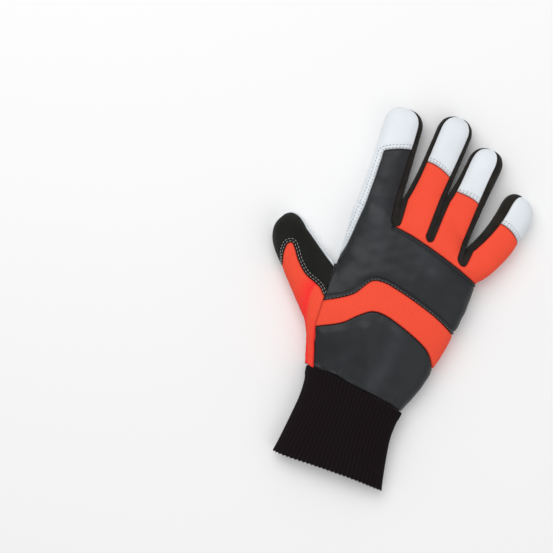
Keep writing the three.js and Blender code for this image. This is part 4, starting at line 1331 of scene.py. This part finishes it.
def make_thumb_back():
    """Three grids: inside the orange panel, outside it and round the tip."""
    inner_shares, outer_shares = spaced(44, 0.3), spaced(26, 0.3)
    inner = columns(thumb_seam(THUMB_STEPS), np.full_like(THUMB_STEPS, THUMB_INNER), inner_shares)
    late = THUMB_STEPS[THUMB_STEPS > 0.53]
    outer = columns(np.full_like(late, THUMB_UNDER), gusset_edge(late), outer_shares)
    tip = np.broadcast_to(np.concatenate((outer[-1], inner[-1])), (len(THUMB_ROUND), 70))
    return Wall([
        grid(thumb_block, 1, inner, THUMB_STEPS[:, None], THUMB_AHEAD),
        grid(thumb_block, 1, outer, late[:, None], THUMB_AHEAD),
        grid(thumb_block, 1, tip, THUMB_ROUND[:, None], THUMB_AHEAD),
    ])


def make_thumb_palm():
    """Two grids: the thumb's palm side to its tip, and the ball of the thumb up to the pad."""
    under = columns(np.array([-2 - THUMB_UNDER]), np.array([1.0]), spaced(60, 0.2))[0]
    across = np.concatenate((under, from_turn(np.linspace(1, to_turn(2 - THUMB_INNER), 8)[1:])))
    steps = np.concatenate((THUMB_STEPS, THUMB_ROUND[1:]))
    beside = CROTCH_STEP * (1 + under) / 2
    beside = np.concatenate((np.linspace(0, beside[0], 6)[:-1], beside))
    seam = look_up(PAD_SEAM, 1, beside)
    ball = columns(-np.ones_like(beside), seam, spaced(20, 0.2))
    return Wall([
        grid(thumb_block, -1, across[None], steps[:, None], THUMB_AHEAD),
        grid(palm_block, -1, ball, beside[:, None]),
    ])


def wrist_bow(across):
    """How far the patch's lower edge is drawn up from the straight wrist, in millimetres, across the back."""
    return look_up(WRIST_BOW, 1, across)


def squared(wave):
    """A sine or cosine to the power of 2 over the back's own, which gives the back's superellipse."""
    return np.sign(wave) * np.abs(wave) ** (2 / TOP_POWER)


def even_turn(turn):
    """Angles that lie evenly along the cuff's middle section, by the running sum of its short chords."""
    angle = np.linspace(0, 2 * math.pi, 2001)
    cosine, sine = np.cos(angle), np.sin(angle)
    across = 0.47 * CUFF_WIDTH * squared(cosine)
    lift = 0.44 * CUFF_HEIGHT * squared(sine)
    run = np.concatenate(([0.0], np.cumsum(np.hypot(np.diff(across), np.diff(lift)))))
    return np.interp(turn, run / run[-1], angle)


def make_cuff(ribs, depth, gap=0.3):
    """A ribbed tube: superellipse sections whose radius waves with the turn. Its first rows turn in like a
    quarter circle and go on as a smaller tube inside the hand, where the cuff is sewn in; its free edge is
    scalloped."""
    turn = np.linspace(0, 1, ribs * 6 + 1)
    corner = [palm_plan(np.array(side), np.array(0.0)) for side in (-1.0, 1.0)]
    (left_x, left_y), (right_x, right_y) = ([float(v) for v in place] for place in corner)
    slope = (right_y - left_y) / (right_x - left_x)
    round_down = CUFF_ROLL * (1 - np.cos(np.linspace(0, 1, 7)[1:-1] * math.pi / 2))
    down = np.concatenate(([-CUFF_TUCK, -1.4, -0.4, 0.0], round_down,
                           mix(CUFF_ROLL, CUFF_LENGTH, spaced(62, 0.15))))[:, None]
    inset = (CUFF_TUCK * (1 - np.sqrt(1 - clamp(1 - down / CUFF_ROLL) ** 2))
             + 1.6 * clamp(-down / CUFF_TUCK))
    step = np.maximum(down, 0.0) / CUFF_LENGTH
    angle = even_turn(turn)
    wave = np.cos(turn * ribs * 2 * math.pi)
    shown = smooth((down - 0.2) / 2.0)
    groove = depth * (0.5 - 0.5 * wave) + 0.25 * depth * np.sin(turn * ribs * 4 * math.pi + 1)
    low, high = look_up(CUFF, 1, step) * CUFF_WIDTH, look_up(CUFF, 2, step) * CUFF_WIDTH
    tall = look_up(CUFF, 3, step) * CUFF_HEIGHT
    cosine, sine = np.cos(angle), np.sin(angle)
    soft = 0.5 * np.sin(angle * 2 + down / 19) + 0.35 * np.sin(angle * 5 - down / 11 + 1)
    squeeze = inset + shown * (groove - 0.45 * soft)
    across = (low + high) / 2 + ((high - low) / 2 - squeeze) * squared(cosine)
    lift = (tall / 2 - squeeze) * squared(sine)
    lift = lift - np.where(sine > 0, 1.1 * np.exp(-np.maximum(down, 0.0) / 5) * np.abs(sine), 0.0)
    bow = wrist_bow(clamp(across / (right_x - left_x) + 0.5) * 2 - 1) * smooth(sine * 2 + 0.5)
    scallop = 0.45 * wave * smooth((step - 0.93) / 0.07)
    drop = gap + down + scallop + 0.5 * np.sin(angle * 3 + 0.6) * step - bow * (1 - step) ** 3
    base = mix(WRIST_HEIGHT / 2 + PAD_PROUD / 2, tall / 2 + 1, smooth(step))
    x = (left_x + right_x) / 2 + across
    y = (left_y + right_y) / 2 + across * slope * mix(1, CUFF_SLOPE, step) - drop
    at = stack(x, y, base + lift)
    at[:, -1] = at[:, 0]
    axis = np.broadcast_to(stack((left_x + right_x) / 2 + 0 * step, y[:, :1], base), at.shape)
    uv = np.stack(np.broadcast_arrays(turn * ribs, down / 1000), -1)
    return Wall([{"at": at, "axis": axis, "uv": uv}])


# Settings that a user would change


def length_setting(name, description, default):
    return bpy.props.FloatProperty(name=name, description=description, default=default / 1000,
                                   unit="LENGTH", precision=5, min=0.0)


def colour_setting(name, description, default):
    return bpy.props.FloatVectorProperty(name=name, description=description, default=default,
                                         subtype="COLOR", size=3, min=0.0, max=1.0)


class GloveSizes(bpy.types.PropertyGroup):
    leather_wall: length_setting("Leather", "Thickness of the leather", 1.5)
    cloth_wall: length_setting("Cloth", "Thickness of the cloth panels", 1.2)
    knit_wall: length_setting("Knit", "Thickness of the knitted cuff", 1.6)
    pad_wall: length_setting("Pad", "Thickness of the quilted pad", 4.0)
    seam_roll: length_setting("Seam depth", "How deep panels roll into their seams", 1.0)
    stitch_pitch: length_setting("Stitch pitch", "Distance from one stitch to the next", 2.6)
    stitch_length: length_setting("Stitch length", "Length of a stitch that shows", 1.8)
    thread: length_setting("Thread", "Diameter of the sewing thread", 0.5)
    cuff_ribs: bpy.props.IntProperty(name="Cuff ribs", description="Ribs round the cuff", default=60)
    rib_depth: length_setting("Rib depth", "Depth of the grooves between the cuff's ribs", 0.9)
    cloth_pitch: length_setting("Cloth rib pitch", "Distance between the cloth's fine ribs", 1.3)


class GloveColours(bpy.types.PropertyGroup):
    white: colour_setting("White leather", "Palm, fingertips and thumb's palm", (0.72, 0.76, 0.8))
    dark: colour_setting("Dark leather", "Patches on the back", (0.014, 0.0152, 0.0178))
    suede: colour_setting("Dark suede", "Back of the thumb", (0.0085, 0.0085, 0.0072))
    orange: colour_setting("Orange cloth", "Band, finger backs and thumb gusset", (1.0, 0.09, 0.044))
    side: colour_setting("Side cloth", "Strips between the fingers", (0.017, 0.0145, 0.012))
    knit: colour_setting("Knit", "Cuff", (0.005, 0.0026, 0.0034))
    thread: colour_setting("Thread", "Sewing thread on the pad", (0.5, 0.52, 0.55))
    thumb_thread: colour_setting("Thumb thread", "Sewing thread on the suede", (0.34, 0.35, 0.34))
    tip_thread: colour_setting("Tip thread", "Sewing thread on the fingertips", (0.36, 0.38, 0.42))
    dark_thread: colour_setting("Dark thread", "Thread at the edge of the back patch", (0.13, 0.13, 0.14))
    floor: colour_setting("Floor", "Ground below the glove", (0.9, 0.9, 0.9))


def sizes():
    return bpy.context.scene.glove_sizes


def colours():
    return bpy.context.scene.glove_colours


def material(name, maker, *values, **looks):
    """A material that is made once and used again."""
    return bpy.data.materials.get(name) or maker(name, *values, **looks)


def white_leather():
    return material("White grained leather", grained_leather, colours().white,
                    roughness=0.52, grain=1.0, seam_shade=0.55)


def dark_leather():
    return material("Dark smooth leather", grained_leather, colours().dark,
                    roughness=0.42, grain=0.8, seam_shade=0.8, gloss=0.27, change=0.13)


def orange_cloth():
    return material("Orange ribbed cloth", ribbed_cloth, colours().orange,
                    pitch=sizes().cloth_pitch, seam_shade=0.55)


def side_cloth():
    return material("Dark side cloth", fine_cloth, colours().side)


def mm(value):
    """Metres of a setting as the drawing's millimetres."""
    return value * 1000


# Operators, one for each group of like pieces


def upper_relief(wall):
    """Broad and fine waves, and a rolled border with a groove along the seams above and below."""
    over = np.linspace(INDEX.end, 1 + BACK_WRAP, 80)
    relief = (0.45 * ripple(wall.at, 36, 12) + 0.16 * ripple(wall.at, 11, 13)) * smooth(wall.edge / 6)
    for border in (palm_line(over, knuckle_seam(over)), patch_row(0.0, -1.0, 1 + BACK_WRAP)):
        gap = away(wall.at, border)
        relief += 0.35 * smooth((2.5 - gap) / 0.6) - 0.6 * np.exp(-((gap - 2.6) / 0.55) ** 2)
    return relief


def from_wrist(at):
    """Distance of each place from the bowed seam at the wrist."""
    over = np.linspace(-1, 1, 60)
    return away(at, palm_line(over, wrist_bow(over) / PALM_LENGTH))


def lower_relief(wall):
    """Broad and fine waves, a ridge, a dent, and gathers that die away from the wrist's seam."""
    relief = (0.45 * ripple(wall.at, 30, 22) + 0.14 * ripple(wall.at, 10, 24)) * smooth(wall.edge / 6)
    relief += 1.5 * valley(wall.at, LOWER_RIDGE, 5.0)
    relief -= 1.1 * valley(wall.at, LOWER_DENT, 5.0)
    gap = from_wrist(wall.at)
    relief += 0.6 * ripple(wall.at * (1, 0.2, 1), 8, 23) * np.exp(-gap / 9) * smooth(gap / 2)
    relief += 0.3 * np.exp(-gap / 3)
    return relief


def beside_root(at):
    """1, and almost 0 where the band and the gusset meet, so that their seam lies flat."""
    seam = palm_line(np.full(9, -1.0), np.linspace(0.27, 0.43, 9))
    return 1 - 0.95 * np.exp(-(away(at, seam) / 4) ** 2)


def gusset_shade(wall):
    """Darker on the thumb's side of the fold and beside the lower patch, dying away by exp of squares."""
    side = fold_side(wall.at)
    down = np.linspace(0.0, 0.27, 40)
    beside_patch = away(wall.at, palm_line(side_strip(down), down))
    return np.maximum(smooth((side + 0.8) / 2.0) * np.exp(-(np.maximum(side, 0) / 9) ** 2),
                      0.7 * np.exp(-(beside_patch / 3.5) ** 2)) * 0.9


def gusset_relief(wall):
    """A crease along the fold, with a soft ridge on the hand's side of it."""
    line = resample(np.array([(x, y, 20.0) for y, x in FOLD]), 1.0)[0]
    crease = valley(wall.at, (line[:, :2],), 2.0)
    beside = valley(wall.at, (line[:, :2] + (3.5, 0.0),), 3.0)
    return 0.6 * beside - 0.9 * crease


class GloveBackPatches(bpy.types.Operator):
    """Make the two dark leather patches on the back of the hand"""

    bl_idname = "glove.back_patches"
    bl_label = "Back patches"

    def execute(self, context):
        remove_old("upper_back_leather", "lower_back_leather")
        size = sizes()
        upper, lower = make_upper_patch(), make_lower_patch()
        # Painted highlights along the upper patch's gleam lines
        upper.shade = 0.5 * valley(upper.at, UPPER_GLEAMS, 7.0)
        upper = sewn(upper, mm(size.seam_roll), width=1.4, swell=0.6, pucker=0.2, seed=11,
                     more=upper_relief(upper), keep=1 - 0.6 * near_root(upper.at))
        # Painted highlights along the lower patch's and the wrist's gleam lines
        lower.shade = 0.7 * valley(lower.at, LOWER_GLEAM, 6.0) + 0.3 * valley(lower.at, WRIST_GLEAM, 4.0)
        lower = sewn(lower, mm(size.seam_roll), width=1.6, swell=0.6, pucker=0.25, seed=21,
                     more=lower_relief(lower), keep=1 - 0.6 * np.exp(-(from_wrist(lower.at) / 2) ** 2))
        add_wall("upper_back_leather", upper, mm(size.leather_wall), dark_leather(), "dark_leather",
                 "upper_patch")
        add_wall("lower_back_leather", lower, mm(size.leather_wall), dark_leather(), "dark_leather",
                 "lower_patch")
        return {"FINISHED"}


class GloveOrangePanels(bpy.types.Operator):
    """Make the orange band, the backs of three fingers and the thumb's gusset"""

    bl_idname = "glove.orange_panels"
    bl_label = "Orange panels"

    def execute(self, context):
        remove_old("orange_chevron", "orange_finger_backs", "orange_thumb_gusset")
        size = sizes()
        wall, cloth = mm(size.cloth_wall), orange_cloth()
        band = make_orange_band()
        band = sewn(band, mm(size.seam_roll), width=1.3, swell=0.4, pucker=0.2, seed=31,
                    keep=beside_root(band.at))
        # The painted seam shadow stays at full strength where the band's seam lies flat
        band.shown = band.edge
        backs = sewn(make_finger_backs(), mm(size.seam_roll), width=1.4, swell=0.4, pucker=0.2, seed=41)
        gusset = make_thumb_gusset()
        # Painted shade beside the fold and beside the lower patch
        gusset.shade = gusset_shade(gusset)
        gusset = sewn(gusset, mm(size.seam_roll) * 0.8, width=1.3, swell=0.4, pucker=0.25, seed=51,
                      more=gusset_relief(gusset), keep=beside_root(gusset.at))
        # The painted seam shadow stays at full strength where the gusset's seam lies flat
        gusset.shown = gusset.edge
        add_wall("orange_chevron", band, wall, cloth, "orange_cloth", "orange_band")
        add_wall("orange_finger_backs", backs, wall, cloth, "orange_cloth", "finger_backs")
        add_wall("orange_thumb_gusset", gusset, wall, cloth, "orange_cloth", "thumb_gusset")
        return {"FINISHED"}


class GloveFingerCaps(bpy.types.Operator):
    """Make the white leather caps of the middle, ring and little finger"""

    bl_idname = "glove.finger_caps"
    bl_label = "Finger caps"

    def execute(self, context):
        size = sizes()
        for number, finger in enumerate(FINGERS[1:]):
            name = f"{finger.name}_fingertip"
            remove_old(name)
            cap = sewn(make_cap(finger), mm(size.seam_roll) * 0.9, width=1.3, swell=0.5, pucker=0.25,
                       seed=61 + 5 * number, rows=[cap_row(finger, TIP_DIP)])
            add_wall(name, cap, mm(size.leather_wall), white_leather(), "white_leather",
                     f"{finger.name}_cap")
        return {"FINISHED"}


class GloveFourchettes(bpy.types.Operator):
    """Make the dark cloth strips between the fingers"""

    bl_idname = "glove.fourchettes"
    bl_label = "Strips between fingers"

    def execute(self, context):
        size = sizes()
        for left, right in zip(FINGERS[:-1], FINGERS[1:]):
            name = f"{left.name}_{right.name}_side_cloth"
            remove_old(name)
            strip = sewn(make_fourchette(left, right), mm(size.seam_roll) * 0.7, width=1.2, swell=0.3,
                         pucker=0.12, seed=81)
            add_wall(name, strip, mm(size.cloth_wall), side_cloth(), "side_cloth",
                     f"{left.name}_{right.name}_fourchette")
        return {"FINISHED"}


class GlovePalm(bpy.types.Operator):
    """Make the palm leather with the index finger's outer strip, and the quilted pad"""

    bl_idname = "glove.palm"
    bl_label = "Palm leather and pad"

    def execute(self, context):
        remove_old("white_palm_leather", "quilted_palm_pad")
        size = sizes()
        palm = make_palm_leather()
        strip = np.exp(-(away(palm.at, index_row(2.3)) / 2.5) ** 2)
        palm = sewn(palm, mm(size.seam_roll) * 0.9, width=1.3, swell=0.5, pucker=0.3, seed=91,
                    rows=[index_row(gap) for gap in STRIP_ROWS],
                    more=0.3 * strip * ripple(palm.at, 5.5, 96)
                    - 0.9 * valley(palm.at, STRIP_NICK, 0.9) * (palm.at[:, 2] > BACK_OF_STRIP))
        add_wall("white_palm_leather", palm, mm(size.leather_wall), white_leather(), "white_leather",
                 "palm_leather")
        pad = make_pad()
        pad.draw_in(0.3)
        quilt = valley(pad.at, QUILT_LINES, 1.6) * 1.3 + valley(pad.at, PAD_LINES, 0.8) * 0.5
        broad = valley(pad.at, QUILT_LINES, 6.0) * 0.7
        pad.push(roll(pad.edge, 3.2, PAD_PROUD) - quilt - broad + 0.2 * ripple(pad.at, 14, 95))
        piece = add_wall("quilted_palm_pad", pad, mm(size.pad_wall) - 0.6, white_leather(),
                         "white_leather", "palm_pad")
        return {"FINISHED"}


class GloveThumb(bpy.types.Operator):
    """Make the suede back and the white palm side of the thumb"""

    bl_idname = "glove.thumb"
    bl_label = "Thumb"

    def execute(self, context):
        remove_old("suede_thumb_back", "white_thumb_palm")
        size = sizes()
        suede = material("Dark suede", napped_leather, colours().suede)
        back = make_thumb_back()
        back = sewn(back, mm(size.seam_roll) * 0.9, width=1.3, swell=0.4, pucker=0.2, seed=101,
                    rows=[thumb_row(gap) for gap in THUMB_ROWS], keep=1 - 0.6 * near_root(back.at))
        palm = sewn(make_thumb_palm(), mm(size.seam_roll) * 0.8, width=1.4, swell=0.4, pucker=0.25, seed=111)
        add_wall("suede_thumb_back", back, mm(size.leather_wall), suede, "dark_suede", "thumb_back")
        add_wall("white_thumb_palm", palm, mm(size.leather_wall), white_leather(), "white_leather",
                 "thumb_palm")
        return {"FINISHED"}


class GloveCuff(bpy.types.Operator):
    """Make the ribbed knitted cuff"""

    bl_idname = "glove.cuff"
    bl_label = "Knitted cuff"

    def execute(self, context):
        remove_old("ribbed_knit_cuff")
        size = sizes()
        yarn = material("Ribbed knit", knit_yarn, colours().knit)
        add_wall("ribbed_knit_cuff", make_cuff(size.cuff_ribs, mm(size.rib_depth)), mm(size.knit_wall),
                 yarn, "knit", "knit_cuff")
        return {"FINISHED"}


class GloveStitching(bpy.types.Operator):
    """Sew the rows of stitches on the leather and the suede"""

    bl_idname = "glove.stitching"
    bl_label = "Stitching"

    def execute(self, context):
        size, colour = sizes(), colours()
        pitch, length, thread = (mm(v) for v in (size.stitch_pitch, size.stitch_length, size.thread))
        pale = material("Pale thread", sewing_thread, colour.thread)
        soft = material("Soft grey thread", sewing_thread, colour.tip_thread)
        grey = material("Grey thread", sewing_thread, colour.dark_thread)
        dull = material("Dull thread", sewing_thread, colour.thumb_thread)
        caps = [([cap_row(finger, gap) for gap in TIP_ROWS], (f"{finger.name}_fingertip",))
                for finger in FINGERS[1:]]
        white = [([index_row(gap) for gap in STRIP_ROWS], ("white_palm_leather",)), *caps]
        suede = [([thumb_row(gap) for gap in THUMB_ROWS], ("suede_thumb_back",))]
        pad = [([on_pad(line) for line in (*QUILT_LINES, *PAD_LINES)]
                + [pad_thumb_row(gap) for gap in PAD_THUMB_ROWS], ("quilted_palm_pad",))]
        dark = [([patch_row(BACK_ROW)], ("upper_back_leather",))]
        for name, groups, paint, slot in (
                ("fingertip_stitches", white, soft, "white_leather"),
                ("thumb_stitches", suede, dull, "dark_suede"),
                ("pad_stitches", pad, pale, "white_leather"),
                ("back_stitches", dark, grey, "dark_leather")):
            remove_old(name)
            add_stitches(name, groups, paint, slot, pitch, length, thread)
        return {"FINISHED"}


# name, place, energy and width of each light
LIGHTS = (("key_light", (-0.55, 0.55, 1.3), 13, 1.3), ("fill_light", (0.9, -0.4, 1.2), 3.5, 1.2))
WORLD_STRENGTH = 0.55
FLOOR_REACH, FLOOR_DROP = 3, 0.0003
# The camera looks straight down on this place, turned by this angle, and its picture is this wide there
CAMERA_AIM, CAMERA_TURN, CAMERA_HEIGHT = (-0.0755, -0.0178, 0.012), math.radians(20), 1.5
PICTURE_WIDTH, SENSOR_WIDTH = 0.41475, 36


class GloveStage(bpy.types.Operator):
    """Make the floor, the lights and the camera"""

    bl_idname = "glove.stage"
    bl_label = "Stage"

    def execute(self, context):
        remove_old("floor", "key_light", "fill_light", "camera")
        scene = context.scene
        reach = FLOOR_REACH * np.array(((-1, -1), (1, -1), (1, 1), (-1, 1)), float)
        mesh = make_mesh("floor", np.column_stack((reach, np.full(4, -FLOOR_DROP))), [np.arange(4)[None]])
        mesh.materials.append(material("Pale floor", floor_paint, colours().floor))
        link("floor", mesh)
        for name, place, energy, size in LIGHTS:
            light = bpy.data.lights.new(name, "AREA")
            light.energy, light.size = energy, size
            lamp = link(name, light)
            lamp.location = place
            lamp.rotation_mode = "QUATERNION"
            lamp.rotation_quaternion = lamp.location.to_track_quat("Z", "Y")
        world = scene.world or bpy.data.worlds.new("Studio")
        scene.world = world
        world.use_nodes = True
        scene.view_settings.view_transform = "Standard"
        world.node_tree.nodes["Background"].inputs[0].default_value = (1.0, 1.0, 1.0, 1.0)
        world.node_tree.nodes["Background"].inputs[1].default_value = WORLD_STRENGTH
        lens = bpy.data.cameras.new("camera")
        camera = link("camera", lens)
        lens.sensor_width = SENSOR_WIDTH
        lens.lens = SENSOR_WIDTH * CAMERA_HEIGHT / PICTURE_WIDTH
        lens.clip_start, lens.clip_end = 0.1, 10
        camera.location = (CAMERA_AIM[0], CAMERA_AIM[1], CAMERA_AIM[2] + CAMERA_HEIGHT)
        camera.rotation_euler = (0, 0, CAMERA_TURN)
        scene.camera = camera
        return {"FINISHED"}


PIECES = (GloveBackPatches, GloveOrangePanels, GloveFingerCaps, GloveFourchettes, GlovePalm, GloveThumb,
          GloveCuff, GloveStitching, GloveStage)


class VIEW3D_PT_glove(bpy.types.Panel):
    """Lists the glove's sizes, colours and pieces"""

    bl_label = "Chainsaw glove"
    bl_space_type = "VIEW_3D"
    bl_region_type = "UI"
    bl_category = "Glove"

    def draw(self, context):
        for group in (context.scene.glove_sizes, context.scene.glove_colours):
            box = self.layout.box()
            for name in group.bl_rna.properties.keys():
                if name not in ("rna_type", "name"):
                    box.prop(group, name)
        for piece in PIECES:
            self.layout.operator(piece.bl_idname)


CLASSES = (GloveSizes, GloveColours, *PIECES, VIEW3D_PT_glove)


def register():
    for cls in CLASSES:
        bpy.utils.register_class(cls)
    bpy.types.Scene.glove_sizes = bpy.props.PointerProperty(type=GloveSizes)
    bpy.types.Scene.glove_colours = bpy.props.PointerProperty(type=GloveColours)


def unregister():
    del bpy.types.Scene.glove_sizes
    del bpy.types.Scene.glove_colours
    for cls in reversed(CLASSES):
        bpy.utils.unregister_class(cls)


def main():
    register()
    for piece in PIECES:
        group, call = piece.bl_idname.split(".")
        getattr(getattr(bpy.ops, group), call)()


if __name__ == "__main__":
    main()
